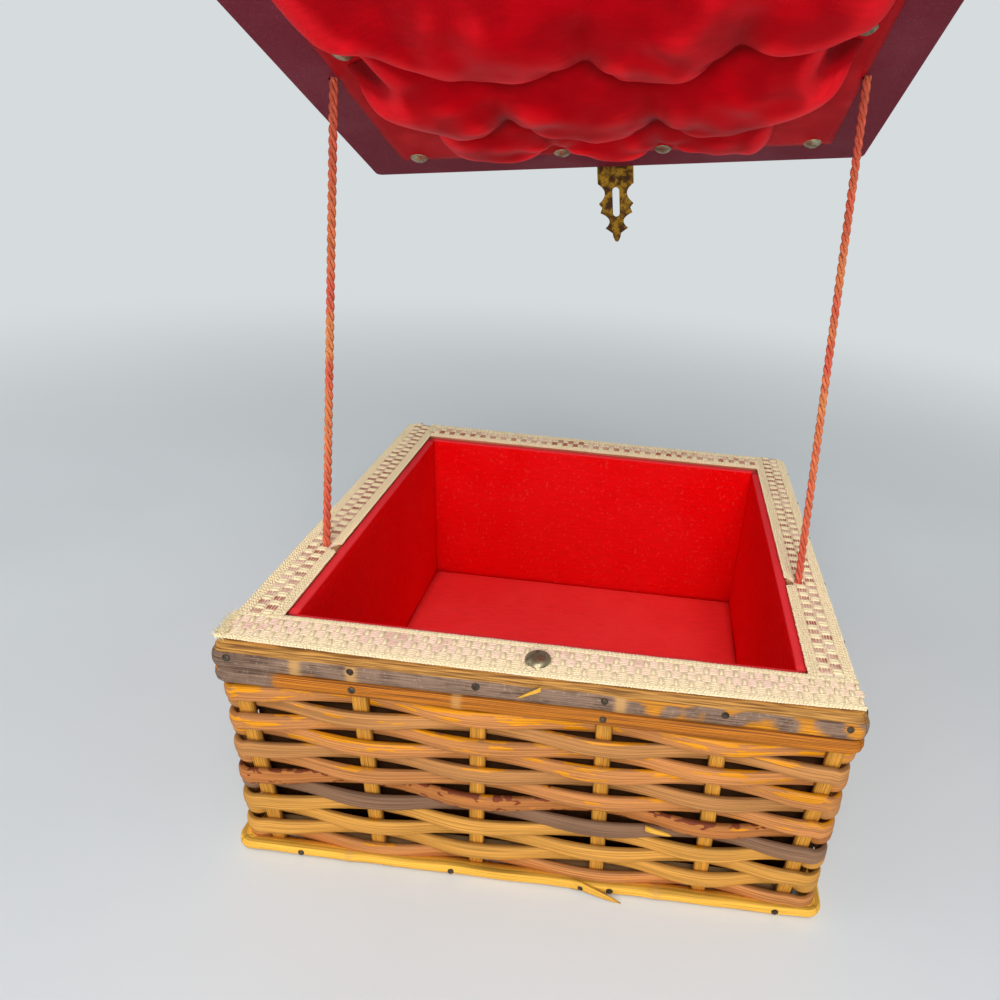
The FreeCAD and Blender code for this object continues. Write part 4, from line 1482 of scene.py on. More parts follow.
def fray_spots(draw):
    """Loose fibres at the cut end of the near braid."""
    spots = []
    for _ in range(FRAY_COUNT):
        depth = 1.0 + draw.random() ** 1.2 * 17
        point = (-HALF + draw.uniform(0.2, 3.5), depth - HALF, RIM_TOP + draw.uniform(0.3, 1.7))
        turn = (draw.uniform(-0.9, 0.5), draw.uniform(-1.1, 0.2), draw.uniform(-0.9, 0.9) + math.pi)
        spots.append((point, turn, (draw.uniform(1.2, 3.6), 0.16, 0.16), {"tint": 0.0}))
    return spots


def under_stud(place, depth):
    """Leaves out stitches under the rim's stud."""
    return math.hypot(place, depth - STUD_DEPTH) < STUD_CLEARANCE


def rear_corner(side):
    """Leaves out stitches beyond the rounded rear corners and where a cord comes up."""

    def skip(place, depth):
        if side not in CORD_PLACES:
            return False
        rear = (place if side == "right" else -place) - (HALF - BRAID_CORNER)
        if rear > 0 and depth < BRAID_CORNER:
            if math.hypot(rear, depth - BRAID_CORNER) > BRAID_CORNER_REACH:
                return True
        return depth > CORD_GAP_FROM and abs(place - CORD_PLACES[side]) < CORD_GAP_HALF

    return skip


class SEWBOX_OT_braid(bpy.types.Operator):
    """Lays the woven braid on the rim"""

    bl_idname = "sewbox.braid"
    bl_label = "Braid"

    def execute(self, context):
        trim = settings().trim
        draw = random.Random(23)
        end = HALF - 0.6
        pitch = trim.near_pitch / MM
        spots = tape_spots(NEAR_TAPE, "near", -end, end, pitch, under_stud, draw)
        near = scatter("near_braid_weave", spots, bead("stitch", 6, 4), "braid_yarn")
        tape = build_tape("near_braid_tape", [tape_rings("near", NEAR_TAPE, -end, end)])
        fray = scatter("near_braid_fray", fray_spots(draw), bead("fibre", 4, 4), "braid_yarn")
        for piece in (near, tape, fray):
            settle(piece, "box", "braid_cream", "braid_near")
        # Start and end of the stitches on each side, and how much shorter the tape is there
        runs = (
            ("right", -HALF + 20.2, end, 0.0, 3.5),
            ("far", -HALF + 20.0, HALF - 20.0, 0.0, 0.0),
            ("left", -end, HALF - 20.2, 3.5, 0.0),
        )
        pitch = trim.side_pitch / MM
        lengths = []
        for side, start, stop, less_start, less_stop in runs:
            spots = tape_spots(SIDE_TAPE, side, start, stop, pitch, rear_corner(side), draw)
            piece = scatter(f"{side}_braid_weave", spots, bead("stitch", 6, 4), "braid_yarn")
            settle(piece, "box", "braid_cream", "braid_surround")
            lengths.append(tape_rings(side, SIDE_TAPE, start + less_start, stop - less_stop))
        tape = build_tape("surround_braid_tape", lengths)
        settle(tape, "box", "braid_cream", "braid_surround")
        return {"FINISHED"}


# Stud and tacks
STUD_HEAD = (
    (0.05, 2.3), (1.8, 2.25), (3.4, 2.0), (4.5, 1.5), (5.2, 0.85),
    (5.5, 0.35), (5.55, 0.05), (5.2, -0.1), (1.2, -0.15), (1.15, -6.0),
)
STUD_TURN = (0.05, -0.04, 0.4)
TACK_HEAD = (
    (0.05, 2.25), (1.5, 2.15), (2.8, 1.75), (3.8, 1.15), (4.4, 0.55),
    (4.75, 0.2), (4.7, 0.02), (0.8, 0.0), (0.75, -5.0),
)
TACK_COLUMNS = (-106.0, -27.0, 27.0, 106.0)
TACK_END_ROW = 113.5
TACK_MIDDLE_ROW = 8.0
TACK_LEAN = 0.07


class SEWBOX_OT_studs(bpy.types.Operator):
    """Presses in the rim's stud and the lid's dome tacks"""

    bl_idname = "sewbox.studs"
    bl_label = "Stud and Tacks"

    def execute(self, context):
        spot = ((0.0, STUD_DEPTH - HALF, BRAID_TOP + 0.1), STUD_TURN, FULL_SIZE, {})
        stud = scatter("rim_stud_dome", [spot], turned_shape("stud", STUD_HEAD, 36), "pewter")
        settle(stud, "box", "old_brass", "rim_stud")
        draw = random.Random(31)
        places = [(x, row) for row in (-TACK_END_ROW, TACK_END_ROW) for x in TACK_COLUMNS]
        places += [(TACK_COLUMNS[0], TACK_MIDDLE_ROW), (TACK_COLUMNS[-1], TACK_MIDDLE_ROW)]
        spots = []
        for x, y in places:
            tilt, roll = draw.uniform(-TACK_LEAN, TACK_LEAN), draw.uniform(-TACK_LEAN, TACK_LEAN)
            turn = (math.pi + tilt, roll, draw.uniform(0, 6))
            spots.append(((x, y, -CLOTH_DEPTH - 0.1), turn, FULL_SIZE, {}))
        head = turned_shape("tack", TACK_HEAD, 28)
        tacks = scatter("lid_tack_domes", spots, head, "pewter", LID_PLACE)
        settle(tacks, "lid", "old_brass", "lid_tacks")
        return {"FINISHED"}


# Lining
# How far forward the dark card reaches behind the weave as painted shade, how high it stands, and
# where the long panels end
CARD_DEPTH = 10.6
CARD_TOP = 98.6
CARD_END = 8.8
LINING_STEPS = 46
LINING_STEPS_DOWN = 14
LINING_FOLD = 0.6
FLOOR_STEPS = 40
FLOOR_LINES = 38
FLOOR_EDGE = ((0.0, 1.6), (0.15, 0.7), (0.6, 0.15))
FLOOR_MIDDLE = 1.5


def lining_section():
    """Outline of a padded panel across its thickness: depth and level, rounded at its top."""
    outer, inner, top, low = LINING_OUTER, LINING_INNER, LINING_TOP, BOARD_TOP
    section = [(CARD_DEPTH, low), (CARD_DEPTH, CARD_TOP), (outer, CARD_TOP + 0.2)]
    section += [(outer, top - 0.8), (outer + 0.25, top - 0.2), (outer + 0.8, top)]
    section += [(inner - 0.9, top), (inner - 0.3, top - 0.25), (inner, top - 1.0)]
    for step in range(1, LINING_STEPS_DOWN + 1):
        section.append((inner, top - 1.0 - (top - 1.0 - low) * step / LINING_STEPS_DOWN))
    return section


def lining_panel(side):
    """One wall of the lining, red on its face and card behind; the card reaches forward behind the
    weave, dark brown as painted shade seen through its gaps.
    """
    section = lining_section()
    key = SIDES.index(side) * 6
    end = HALF - CARD_END if side in LONG_SIDES else HALF - LINING_INNER - 0.1
    points, card, worn = [], [], []
    for step in range(LINING_STEPS + 1):
        place = -end + 2 * end * step / LINING_STEPS
        for depth, level in section:
            face = depth >= LINING_INNER - 0.01
            fold = level > LINING_TOP - LINING_FOLD
            puff = 0.35 * ripple(place / 42, level / 34, key) if face else 0.0
            rise = 0.35 * ripple(place / 30, 3, key) if fold else 0.0
            points.append(on_side(side, place, depth + puff, level + rise))
            # The card, dark brown as painted shade behind the weave
            card.append(float(depth < LINING_OUTER or abs(place) > HALF - LINING_OUTER))
            # Points of the top edge, which get painted light with some fading
            worn.append(float(fold))
    faces = skin(LINING_STEPS + 1, len(section))
    values = {"card": card, "worn": worn}
    return new_piece(f"lining_{side}_cloth", "lining_red", points, faces, values)


def floor_panel():
    """The panel on the floor of the box, with rounded edges."""
    half = HALF - LINING_INNER - 0.2
    middle = half - FLOOR_MIDDLE
    across = [(-half + inset, drop) for inset, drop in FLOOR_EDGE]
    across += [(y, 0.0) for y in np.linspace(-middle, middle, FLOOR_LINES)]
    across += [(half - inset, drop) for inset, drop in reversed(FLOOR_EDGE)]
    points = []
    for step in range(FLOOR_STEPS + 1):
        x = -half + 2 * half * step / FLOOR_STEPS
        points.append((x, -half, BOARD_TOP))
        for y, drop in across:
            wave = 0.3 * ripple(x / 50, y / 50, 77) if drop == 0 else 0.0
            points.append((x, y, FLOOR_TOP - drop + wave))
        points.append((x, half, BOARD_TOP))
    faces = skin(FLOOR_STEPS + 1, len(across) + 2)
    return new_piece("floor_panel_cloth", "floor_red", points, faces)


class SEWBOX_OT_lining(bpy.types.Operator):
    """Sets the red lining panels and the floor panel"""

    bl_idname = "sewbox.lining"
    bl_label = "Red Lining"

    def execute(self, context):
        for side in SIDES:
            settle(lining_panel(side), "box", "lining_red", f"lining_{side}")
        settle(floor_panel(), "box", "lining_red", "floor_panel")
        return {"FINISHED"}


# Cords
CORD_RIM_DEPTH = 9.0
KNOT_CLEARANCE = 3.5
PLIES = 3
PLY_SHARE = 0.464
PLY_SIDES = 9
PLY_STEP = 3.1
TWIST_START = 0.6


def cord_route(side):
    """The taut run of a cord from inside the rail to its knot, in metres."""
    rim = Vector(RIM_EXITS[side]) * MM
    knot = LID_PLACE @ (Vector(KNOTS[side]) * MM)
    direction = (knot - rim).normalized()
    low = rim - direction * CORD_RIM_DEPTH * MM
    high = knot - direction * KNOT_CLEARANCE * MM
    bend = 6 * settings().lid.cord_diameter
    return [low, low + direction * bend, high - direction * bend, high], rim, knot


def spline_points(points):
    """Points read along a smooth line through the route's control points."""
    shape = {"dimensions": "3D", "resolution_u": 150}
    mesh = curve_mesh([points], "NURBS", shape, {"order_u": 3, "use_endpoint_u": True})
    read = [vertex.co.copy() for vertex in mesh.vertices]
    bpy.data.meshes.remove(mesh)
    return read


def twist_plies(name, path, diameter, lay):
    """Plies wound round a line, as one piece."""
    ply_radius = diameter / 2 * PLY_SHARE
    orbit = diameter / 2 - ply_radius
    tangent = (path[-1] - path[0]).normalized()
    first = tangent.orthogonal().normalized()
    second = tangent.cross(first)
    lengths = [0.0]
    for a, b in zip(path, path[1:]):
        lengths.append(lengths[-1] + (b - a).length)
    points, faces = [], []
    values = {"along": [], "around": [], "ply": []}
    for ply in range(PLIES):
        faces += skin(len(path), PLY_SIDES, first=len(points))
        for point, length in zip(path, lengths):
            angle = -2 * math.pi * (length / lay + ply / PLIES) + TWIST_START
            out = first * math.cos(angle) + second * math.sin(angle)
            side = tangent.cross(out)
            centre = point + out * orbit
            for step in range(PLY_SIDES):
                turn = 2 * math.pi * step / PLY_SIDES
                spot = centre + (out * math.cos(turn) + side * math.sin(turn)) * ply_radius
                points.append(tuple(c / MM for c in spot))
                values["along"].append(length / lengths[-1])
                values["around"].append(step / PLY_SIDES + length / lay)
                values["ply"].append(ply * PLY_STEP)
    return new_piece(name, "cord_yarn", points, faces, values)


class SEWBOX_OT_cords(bpy.types.Operator):
    """Strings the two twisted cords from the rims to the lid"""

    bl_idname = "sewbox.cords"
    bl_label = "Cords"

    def execute(self, context):
        lid = settings().lid
        for side in CORD_SIDES:
            route, rim, knot = cord_route(side)
            path = spline_points(route)
            piece = twist_plies(f"cord_{side}_plies", path, lid.cord_diameter, lid.cord_lay)
            settle(piece, "box", "cord_salmon", f"cord_{side}")
            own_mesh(piece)
        return {"FINISHED"}


# Knots
KNOT_STEPS = 90
KNOT_SIDES = 8
KNOT_SIZE = 0.72
KNOT_HEIGHT = 1.4
KNOT_AHEAD = 0.02
KNOT_CORD = 1.05
KNOT_LAY = 0.12


def knot_line(t):
    """A point of a knot's closed line."""
    x = math.sin(t) + 2 * math.sin(2 * t)
    y = math.cos(t) - 2 * math.cos(2 * t)
    return Vector((x, y, -math.sin(3 * t) * KNOT_HEIGHT)) * KNOT_SIZE


def build_knot(side):
    """The stopper knot of one cord."""
    points = []
    values = {"along": [], "around": [], "ply": []}
    for step in range(KNOT_STEPS):
        t = 2 * math.pi * step / KNOT_STEPS
        centre = knot_line(t)
        tangent = (knot_line(t + KNOT_AHEAD) - centre).normalized()
        out = tangent.orthogonal().normalized()
        lift = tangent.cross(out)
        for corner in range(KNOT_SIDES):
            turn = 2 * math.pi * corner / KNOT_SIDES
            radius = KNOT_CORD + KNOT_LAY * math.sin(3 * turn + 12 * t)
            rise = (out * math.cos(turn) + lift * math.sin(turn)) * radius
            points.append(tuple(Vector(KNOTS[side]) + centre + rise))
            values["along"].append(0.05)
            values["around"].append(corner / KNOT_SIDES + 3 * t)
            values["ply"].append(1.0)
    faces = skin(KNOT_STEPS, KNOT_SIDES, loop=True)
    return new_piece(f"knot_{side}_cord", "cord_yarn", points, faces, values, LID_PLACE)


class SEWBOX_OT_knots(bpy.types.Operator):
    """Ties the stopper knots in the lid"""

    bl_idname = "sewbox.knots"
    bl_label = "Stopper Knots"

    def execute(self, context):
        for side, body in (("left", "lid_tether"), ("right", "lid")):
            settle(build_knot(side), body, "cord_salmon", f"cord_knot_{side}")
        return {"FINISHED"}


# Lid
LID_EDGE = (
    (1.6, 0.0), (0.7, 0.25), (0.2, 0.8), (0.0, 1.7),
    (0.0, 7.3), (0.2, 8.2), (0.7, 8.75), (1.6, 9.0),
)
LID_CORNER = 3.0
LID_CORNER_STEPS = 6
KNOT_BORE = ((4.3, 2.5), (4.3, 12.0))
CORD_HOLE = ((2.3, -12.0), (2.3, 0.0))
CREASE_ANGLE = math.radians(25)
CLOTH_STEPS = 56
# Painted light level of the flat cloth: the plain satin, with neither painted shade nor painted
# highlight
CLOTH_SHADING = 0.6


def rounded_square(half, radius):
    """Outline of a square with rounded corners."""
    outline = []
    middle = half - radius
    for quarter, (cx, cy) in enumerate(((1, 1), (-1, 1), (-1, -1), (1, -1))):
        for step in range(LID_CORNER_STEPS + 1):
            angle = math.pi / 2 * (quarter + step / LID_CORNER_STEPS)
            x, y = radius * math.cos(angle), radius * math.sin(angle)
            outline.append((cx * middle + x, cy * middle + y))
    return outline


def cut_away(piece, cutters):
    """Cuts shapes out of a piece and leaves a plain mesh."""
    for cutter in cutters:
        modifier = piece.modifiers.new("cut", "BOOLEAN")
        modifier.object = cutter
        modifier.solver = "EXACT"
    apply_modifiers(piece).set_sharp_from_angle(angle=CREASE_ANGLE)
    for cutter in cutters:
        bpy.data.objects.remove(cutter)


def lid_board():
    """The covered board of the lid, with the bores of its cords."""
    points = []
    for inset, level in LID_EDGE:
        points += [(x, y, level) for x, y in rounded_square(LID_HALF - inset, LID_CORNER)]
    faces = skin(len(LID_EDGE), len(points) // len(LID_EDGE))
    board = new_piece("lid_board_cover", "maroon_cover", points, faces)
    cutters = []
    for side in CORD_SIDES:
        x, y, _ = KNOTS[side]
        bore = turned_shape("bore", KNOT_BORE, 32)
        bore.transform(Matrix.Translation(Vector((x, y, 0)) * MM))
        _, rim, knot = cord_route(side)
        run = LID_PLACE.inverted() @ knot - LID_PLACE.inverted() @ rim
        turn = run.to_track_quat("Z", "Y").to_matrix().to_4x4()
        hole = turned_shape("hole", CORD_HOLE, 24)
        hole.transform(Matrix.Translation(Vector(KNOTS[side]) * MM) @ turn)
        cutters += [link_object("bore", bore), link_object("hole", hole)]
    cut_away(board, cutters)
    board.data.transform(LID_PLACE)
    return board


def cloth_point(x, y, layer):
    """A point of the lid's cloth: wavy at its edges, drawn in at the cords, rucked below."""
    at_side, at_end = abs(x) / CLOTH_HALF > 0.99, abs(y) / CLOTH_HALF > 0.99
    x -= math.copysign(0.5 + 0.6 * ripple(y / 25, 1, 4 + (x > 0)), x) * at_side
    y -= math.copysign(0.5 + 0.6 * ripple(x / 25, 2, 8 + (y > 0)), y) * at_end
    for knot_x, knot_y, _ in KNOTS.values():
        if at_side and knot_x * x > 0:
            x -= math.copysign(1.7 * math.exp(-(((y - knot_y) / 5) ** 2)), knot_x)
    ruck = 0.25 * ripple(x / 20, y / 20, 3)
    return (x, y, layer - 0.03 - (ruck + 0.25 if layer else 0.0))


def lid_cloth():
    """The flat cloth under the lid, as two layers closed at their edge."""
    count, size = CLOTH_STEPS, CLOTH_STEPS + 1
    places = [CLOTH_HALF * (2 * i / count - 1) for i in range(size)]
    layers = (0.0, -CLOTH_DEPTH)
    points = [cloth_point(x, y, layer) for layer in layers for x in places for y in places]
    faces = []
    for i in range(count):
        for j in range(count):
            a = i * size + j
            faces.append((a, a + size, a + size + 1, a + 1))
            b = a + size * size
            faces.append((b, b + 1, b + size + 1, b + size))
    edge = list(range(size)) + [i * size + count for i in range(1, size)]
    edge += [count * size + j for j in range(count - 1, -1, -1)]
    edge += [i * size for i in range(count - 1, 0, -1)]
    for a, b in zip(edge, edge[1:] + edge[:1]):
        faces.append((a, b, b + size * size, a + size * size))
    # The flat cloth takes the plain satin, between painted shade and painted highlight
    values = {"swell": [CLOTH_SHADING] * len(points)}
    return new_piece("lid_cloth_red", "red_satin", points, faces, values, LID_PLACE)


class SEWBOX_OT_lid(bpy.types.Operator):
    """Makes the lid's covered board and its flat cloth"""

    bl_idname = "sewbox.lid"
    bl_label = "Lid Board and Cloth"

    def execute(self, context):
        settle(lid_board(), "lid", "lid_maroon", "lid_board")
        cloth = settle(lid_cloth(), "lid", "satin_red", "lid_cloth")
        return {"FINISHED"}


# Padding: each row's lower edge as (across, along), its tufts, its crown and its ends
PAD_TOP = 0.9
PAD_HALF = 110.0
PAD_NEAR_EDGE = -104.0
PAD_ROWS = (
    {
        "edge": ((-106, -68), (-70, -54), (-40, -64), (0, -50), (38, -62), (72, -52), (106, -66)),
        "tufts": (-40, 38),
        "crown": 20.0,
        "ends": (-104, 104),
    },
    {
        "edge": (
            (-110, -56), (-104, -46), (-98, -35), (-83, -20), (-66, -7), (-58, 2),
            (-46, 9), (-28, 8), (-4, 0), (6, 10), (20, 15), (36, 11),
            (54, -3), (79, -7), (96, -16), (103, -28), (110, -42),
        ),
        "tufts": (-4, 54),
        "crown": 25.0,
        "ends": (-108.5, 108.5),
    },
    {
        "edge": (
            (-110, 10), (-107, 24), (-101, 38), (-82, 59), (-68, 69), (-56, 65),
            (-43, 52), (-32, 64), (-6, 74), (12, 70), (24, 61), (40, 70),
            (57, 74), (72, 68), (89, 50), (101, 35), (110, 14),
        ),
        "tufts": (-43, 24),
        "crown": 21.0,
        "ends": (-108.5, 108.5),
    },
    {
        "edge": (
            (-90, 92), (-78, 101), (-62, 107), (-46, 105), (-36, 98), (-27, 89), (-18, 101),
            (0, 107), (18, 103), (26, 90), (36, 98), (58, 105), (76, 108), (86, 94),
        ),
        "tufts": (-27, 26),
        "crown": 13.0,
        "ends": (-86, 83),
    },
)
PAD_NOSE = 0.62
PAD_OVERLAP = 16.0
PAD_PINCH = 0.3
PAD_SIDE_ROUND = 16.0
PAD_TUCK = 0.3
EDGE_SMOOTHING = (-3.0, -1.5, 0.0, 1.5, 3.0)
TACK_DENT = (8.0, 24.0)
# Painted shade and highlight of the satin: grid steps that a spot is compared over, its middle and
# its depth
SHADING_REACH = 6
SHADING_MIDDLE = 0.55
SHADING_DEPTH = 7


def row_edge(row, x):
    """Lower edge of a row of padding at a place across the lid."""
    across, along = zip(*row["edge"])
    return np.mean([np.interp(x + shift, across, along) for shift in EDGE_SMOOTHING])


def row_folds(row, number, x, y):
    """Folds that run out from the tufts of a row."""
    folds = 0.0
    for tuft in row["tufts"]:
        dx, dy = x - tuft, y - row_edge(row, tuft)
        distance = math.hypot(dx, dy)
        fan = math.sin(6 * math.atan2(dy, dx) + number)
        folds += fan * math.exp(-distance / 15) * min(1.0, distance / 6)
    return folds


def pad_depth(x, y):
    """How far the padding stands out from the lid."""
    deepest = 0.0
    for number, row in enumerate(PAD_ROWS):
        side = max(0.0, min(x - row["ends"][0], row["ends"][1] - x) / PAD_SIDE_ROUND)
        low = row_edge(row, x)
        high = row_edge(PAD_ROWS[number - 1], x) - PAD_OVERLAP if number else PAD_NEAR_EDGE
        t = (y - high) / max(6.0, low - high)
        if not (0 < t < 1 and side > 0):
            continue
        side = math.sqrt(1 - (1 - min(1.0, side)) ** 2)
        pinch = sum(math.exp(-(((x - tuft) / 10) ** 2)) for tuft in row["tufts"]) * PAD_PINCH * t
        if t < PAD_NOSE:
            start = PAD_TUCK if number else 0.0
            profile = start + (1 - start) * math.sin(math.pi / 2 * t / PAD_NOSE) ** 0.9
        else:
            profile = math.sqrt(max(0.0, 1 - ((t - PAD_NOSE) / (1 - PAD_NOSE)) ** 2.6))
        key = number * 4
        soft = 2.8 * ripple(x / 27, y / 21, key) + 1.6 * ripple(x / 12, y / 16, key + 2)
        height = row["crown"] * (1 - pinch) + 2.6 * row_folds(row, number, x, y) + soft
        deepest = max(deepest, height * profile * side)
    for column in (TACK_COLUMNS[0], TACK_COLUMNS[-1]):
        away = y - TACK_MIDDLE_ROW
        gap = math.hypot(x - column, away * (1.3 if away > 0 else 0.5))
        share = min(1.0, max(0.0, (gap - TACK_DENT[0]) / (TACK_DENT[1] - TACK_DENT[0])))
        deepest *= share * share * (3 - 2 * share)
    return deepest


def pad_shading(depth):
    """How far each spot stands out among its neighbours, from 0 to 1, which sets the satin's
    painted shade in hollows and painted highlight on swells.
    """
    window = 2 * SHADING_REACH + 1
    around = np.pad(depth, SHADING_REACH, mode="edge")
    shifts = [(a, b) for a in range(window) for b in range(window)]
    wide, long = depth.shape
    blurred = sum(around[a : a + wide, b : b + long] for a, b in shifts) / len(shifts)
    return np.clip(SHADING_MIDDLE + (depth - blurred) / SHADING_DEPTH, 0.0, 1.0)


class SEWBOX_OT_padding(bpy.types.Operator):
    """Swells the tufted red padding under the lid"""

    bl_idname = "sewbox.padding"
    bl_label = "Tufted Padding"

    def execute(self, context):
        pitch = settings().lid.pad_grid / MM
        count = int(2 * PAD_HALF / pitch)
        places = [-PAD_HALF + index * pitch for index in range(count + 1)]
        depth = np.array([[pad_depth(x, y) for y in places] for x in places])
        # Painted shade and painted highlight for each point of the padding
        swell = pad_shading(depth)
        points, shades_and_highlights, number = [], [], {}

        def corner(i, j, layer):
            key = (i, j, layer)
            if key not in number:
                number[key] = len(points)
                points.append((places[i], places[j], -PAD_TOP - (depth[i, j] if layer else 0.0)))
                shades_and_highlights.append(swell[i, j])
            return number[key]

        kept = set()
        for i in range(count):
            for j in range(count):
                if depth[i : i + 2, j : j + 2].max() > 0.5:
                    kept.add((i, j))
        faces = []
        for i, j in kept:
            square = ((i, j), (i + 1, j), (i + 1, j + 1), (i, j + 1))
            beside = ((i, j - 1), (i + 1, j), (i, j + 1), (i - 1, j))
            faces.append(tuple(corner(*spot, 1) for spot in square))
            faces.append(tuple(corner(*spot, 0) for spot in reversed(square)))
            for a, b, neighbour in zip(square, square[1:] + square[:1], beside):
                if neighbour not in kept:
                    faces.append((corner(*a, 0), corner(*b, 0), corner(*b, 1), corner(*a, 1)))
        values = {"swell": shades_and_highlights}
        piece = new_piece("lid_padding_satin", "red_satin", points, faces, values, LID_PLACE)
        smooth = piece.modifiers.new("smooth", "SMOOTH")
        smooth.factor, smooth.iterations = 0.5, 4
        rounder = piece.modifiers.new("rounder", "SUBSURF")
        rounder.levels = rounder.render_levels = 1
        apply_modifiers(piece)
        settle(piece, "lid", "satin_red", "lid_padding")
        return {"FINISHED"}


# Hasp
PIN_CENTRE = (0.0, 141.4, 8.2)
HASP_HANG = math.radians(23.3)
HASP_HALF = 10.45
HASP_LENGTH = 48.2
HASP_STEEL = 1.2
HASP_ROUND = 0.2
HASP_TOP = 2.35
BARREL_CLEARANCE = 3.4
BARREL = ((0.95, -3.3), (1.8, -3.3), (2.0, -3.1), (2.0, 3.1), (1.8, 3.3), (0.95, 3.3))
SLOT_MIDDLE = 25.4
SLOT_REACH = 6.0
SLOT_RADIUS = 2.05
SLOT_STEPS = 24
ARC_STEPS = 12


def hasp_outline():
    """Outline of the hasp, hanging down from its pin: across and down."""

    def spot(half_share, length_share, sign):
        return Vector((sign * half_share * HASP_HALF, -length_share * HASP_LENGTH))

    def arc(start, middle, end):
        points = []
        for step in range(ARC_STEPS + 1):
            t = step / ARC_STEPS
            rise = start * (1 - t) * (1 - 2 * t) + middle * 4 * t * (1 - t)
            points.append(rise + end * t * (2 * t - 1))
        return points

    def half(sign):
        points = [spot(1.0, 0.05, sign), spot(1.0, 0.32, sign)]
        points += arc(spot(1.0, 0.32, sign), spot(0.62, 0.427, sign), spot(0.97, 0.544, sign))[1:]
        points += [spot(0.79, 0.592, sign)]
        points += arc(spot(0.9, 0.65, sign), spot(0.41, 0.733, sign), spot(0.64, 0.827, sign))
        points += [spot(0.24, 0.885, sign), spot(0.2, 0.93, sign), spot(0.11, 0.975, sign)]
        return points

    return half(1) + [spot(0.0, 0.988, 1)] + list(reversed(half(-1)))


def hasp_slot():
    """Outline of the hasp's slot."""
    points = []
    for step in range(SLOT_STEPS):
        angle = 2 * math.pi * step / SLOT_STEPS
        x, y = SLOT_RADIUS * math.cos(angle), SLOT_RADIUS * math.sin(angle)
        shift = SLOT_REACH if math.sin(angle) >= 0 else -SLOT_REACH
        points.append(Vector((x, y + shift - SLOT_MIDDLE)))
    return points


def hasp_sheet():
    """The hasp's flat sheet with its slot, as a mesh."""
    shape = {
        "dimensions": "2D",
        "fill_mode": "BOTH",
        "extrude": (HASP_STEEL / 2 - HASP_ROUND) * MM,
        "bevel_depth": HASP_ROUND * MM,
        "bevel_resolution": 2,
        "offset": -HASP_ROUND * MM,
    }
    outlines = (hasp_outline(), hasp_slot())
    flat = [[(x * MM, y * MM, 0.0) for x, y in outline] for outline in outlines]
    return curve_mesh(flat, "POLY", shape, {"use_cyclic_u": True})


class SEWBOX_OT_hasp(bpy.types.Operator):
    """Cuts the slotted hasp and finishes its plate, pin and staple"""

    bl_idname = "sewbox.hasp"
    bl_label = "Hasp"

    def execute(self, context):
        sheet = hasp_sheet()
        sheet.transform(Matrix.Rotation(math.pi / 2, 4, "X"))
        barrel = turned_shape("barrel", BARREL, 24)
        barrel.transform(Matrix.Rotation(math.pi / 2, 4, "Y"))
        work = bmesh.new()
        work.from_mesh(sheet)
        for vertex in work.verts:
            if vertex.co.z > -HASP_TOP * MM and abs(vertex.co.x) > BARREL_CLEARANCE * MM:
                vertex.co.z = -HASP_TOP * MM
        work.from_mesh(barrel)
        mesh = bpy.data.meshes.new("hasp_leaf_brass")
        work.to_mesh(mesh)
        work.free()
        pin = Matrix.Translation(Vector(PIN_CENTRE) * MM)
        mesh.transform(LID_PLACE @ pin @ Matrix.Rotation(HASP_HANG, 4, "X"))
        mend_normals(mesh)
        mesh.materials.append(finish("brass"))
        settle(link_object("hasp_leaf_brass", mesh), "hasp", "old_brass", "hasp_leaf")
        dress("brass", "hasp_plate", "hasp_plate_nails", "hasp_pin", "hasp_staple")
        return {"FINISHED"}


# Stage
CAMERA_PLACE = (0.033726, -0.389097, 0.321036)
CAMERA_RIGHT = (0.99362, 0.08481, 0.07430)
CAMERA_DOWN = (0.10405, -0.43576, -0.89403)
CAMERA_FORWARD = (-0.04345, 0.89606, -0.44181)
CAMERA_SHIFT = (-0.10055, 0.01535)
CAMERA_SENSOR = 36.0
FLOOR_SIZE = 6.0
FLOOR_FADE = (0.35, 1.3)
FLOOR_LIT = 1.12
FLOOR_PALE = 1.04
AMBIENT = (0.31, 0.32, 0.33)
# Lamps: name, setting of its power, place, aim, size and colour
LAMPS = (
    ("key_lamp", "key", (0.15, -1.4, 1.75), (0, 0, 0.12), 1.1, (1.0, 1.0, 1.0)),
    ("side_lamp", "fill", (-1.5, -0.3, 1.2), (0, 0, 0.15), 1.2, (0.93, 0.97, 1.0)),
    ("low_lamp", "low", (0.05, -1.35, 0.5), (0, 0, 0.3), 0.6, (1.0, 1.0, 1.0)),
)


def add_camera(lens):
    """The camera of the main view."""
    camera = bpy.data.cameras.new("camera")
    camera.sensor_width = CAMERA_SENSOR
    camera.lens = lens
    camera.shift_x, camera.shift_y = CAMERA_SHIFT
    camera.clip_start = 0.01
    holder = link_object("camera", camera)
    turn = Matrix((CAMERA_RIGHT, -Vector(CAMERA_DOWN), -Vector(CAMERA_FORWARD))).transposed()
    holder.matrix_world = Matrix.Translation(CAMERA_PLACE) @ turn.to_4x4()
    bpy.context.scene.camera = holder


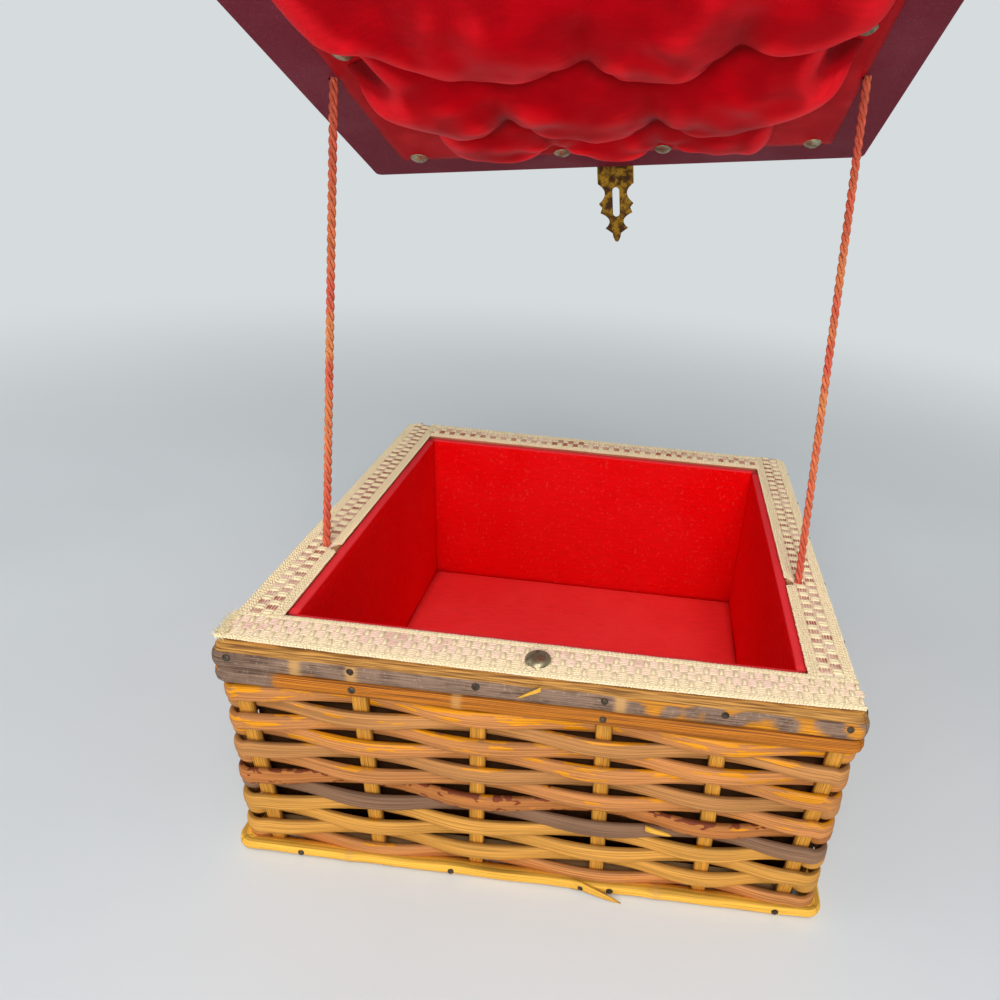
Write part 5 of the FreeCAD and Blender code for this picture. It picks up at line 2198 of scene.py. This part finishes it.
def add_floor(base):
    """A pale floor that fades into the background's colour far off."""
    size = FLOOR_SIZE
    corners = [(-size, -size, 0), (size, -size, 0), (size, size, 0), (-size, size, 0)]
    mesh = bpy.data.meshes.new("floor")
    mesh.from_pydata(corners, [], [(0, 1, 2, 3)])
    material, tree, shader = new_material("pale_floor", Roughness=0.65, Specular_IOR_Level=0.25)
    where, _ = object_place(tree)
    blotches, _ = aged(tree, where, 3.0, 300.0)
    lit = [channel * FLOOR_LIT for channel in base]
    pale = [channel * FLOOR_PALE for channel in lit]
    plug(tree, shader.inputs["Base Color"], blend(tree, blotches, lit, pale))
    reach = add(tree, "ShaderNodeVectorMath", {0: where}, operation="LENGTH").outputs["Value"]
    seen = add(tree, "ShaderNodeLightPath").outputs["Is Camera Ray"]
    far_off = times(tree, spread(tree, reach, *FLOOR_FADE), seen)
    glow = add(tree, "ShaderNodeEmission", {"Color": base}).outputs[0]
    inputs = {0: far_off, 1: shader.outputs[0], 2: glow}
    mixed = add(tree, "ShaderNodeMixShader", inputs).outputs[0]
    plug(tree, tree.nodes["Material Output"].inputs["Surface"], mixed)
    mesh.materials.append(material)
    return link_object("floor", mesh)


def add_lamp(name, power, place, aim, size, colour):
    """A soft square lamp that points at the object."""
    lamp = bpy.data.lights.new(name, "AREA")
    lamp.size = size
    lamp.energy = power
    lamp.color = colour
    holder = link_object(name, lamp)
    holder.location = place
    holder.rotation_euler = (Vector(aim) - Vector(place)).to_track_quat("-Z", "Y").to_euler()


def add_world(base):
    """An even grey light, seen by the camera as the floor's colour."""
    world = bpy.data.worlds.new("studio")
    world.use_nodes = True
    tree = world.node_tree
    seen = add(tree, "ShaderNodeLightPath").outputs["Is Camera Ray"]
    plug(tree, tree.nodes["Background"].inputs["Color"], blend(tree, seen, AMBIENT, base))
    bpy.context.scene.world = world


class SEWBOX_OT_stage(bpy.types.Operator):
    """Sets the floor, the lamps, the background and the camera"""

    bl_idname = "sewbox.stage"
    bl_label = "Stage"

    def execute(self, context):
        stage = settings().stage
        add_camera(stage.lens)
        add_floor(stage.floor_colour)
        for name, power, *options in LAMPS:
            add_lamp(name, getattr(stage, power), *options)
        add_world(stage.floor_colour)
        context.scene.view_settings.view_transform = "Standard"
        return {"FINISHED"}


OPERATORS = (
    SEWBOX_OT_stage,
    SEWBOX_OT_cords,
    SEWBOX_OT_weave,
    SEWBOX_OT_stakes,
    SEWBOX_OT_bands,
    SEWBOX_OT_nails,
    SEWBOX_OT_braid,
    SEWBOX_OT_studs,
    SEWBOX_OT_lining,
    SEWBOX_OT_knots,
    SEWBOX_OT_lid,
    SEWBOX_OT_padding,
    SEWBOX_OT_hasp,
)
GROUPS = (WeaveSettings, TrimSettings, LidSettings, StageSettings, SewingBoxSettings)


class SEWBOX_PT_panel(bpy.types.Panel):
    """Lists the pieces of the sewing box"""

    bl_idname = "SEWBOX_PT_panel"
    bl_label = "Sewing Box"
    bl_space_type = "VIEW_3D"
    bl_region_type = "UI"
    bl_category = "Sewing Box"

    def draw(self, context):
        for operator in OPERATORS:
            self.layout.operator(operator.bl_idname)


def register():
    """Registers the settings, operators and panel."""
    for group in (*GROUPS, *OPERATORS, SEWBOX_PT_panel):
        bpy.utils.register_class(group)
    bpy.types.Scene.sewing_box = bpy.props.PointerProperty(type=SewingBoxSettings)


def unregister():
    """Removes what register added."""
    del bpy.types.Scene.sewing_box
    for group in reversed((*GROUPS, *OPERATORS, SEWBOX_PT_panel)):
        bpy.utils.unregister_class(group)


def main():
    """Builds every piece."""
    register()
    for operator in OPERATORS:
        area, name = operator.bl_idname.split(".")
        getattr(getattr(bpy.ops, area), name)()


if __name__ == "__main__":
    main()
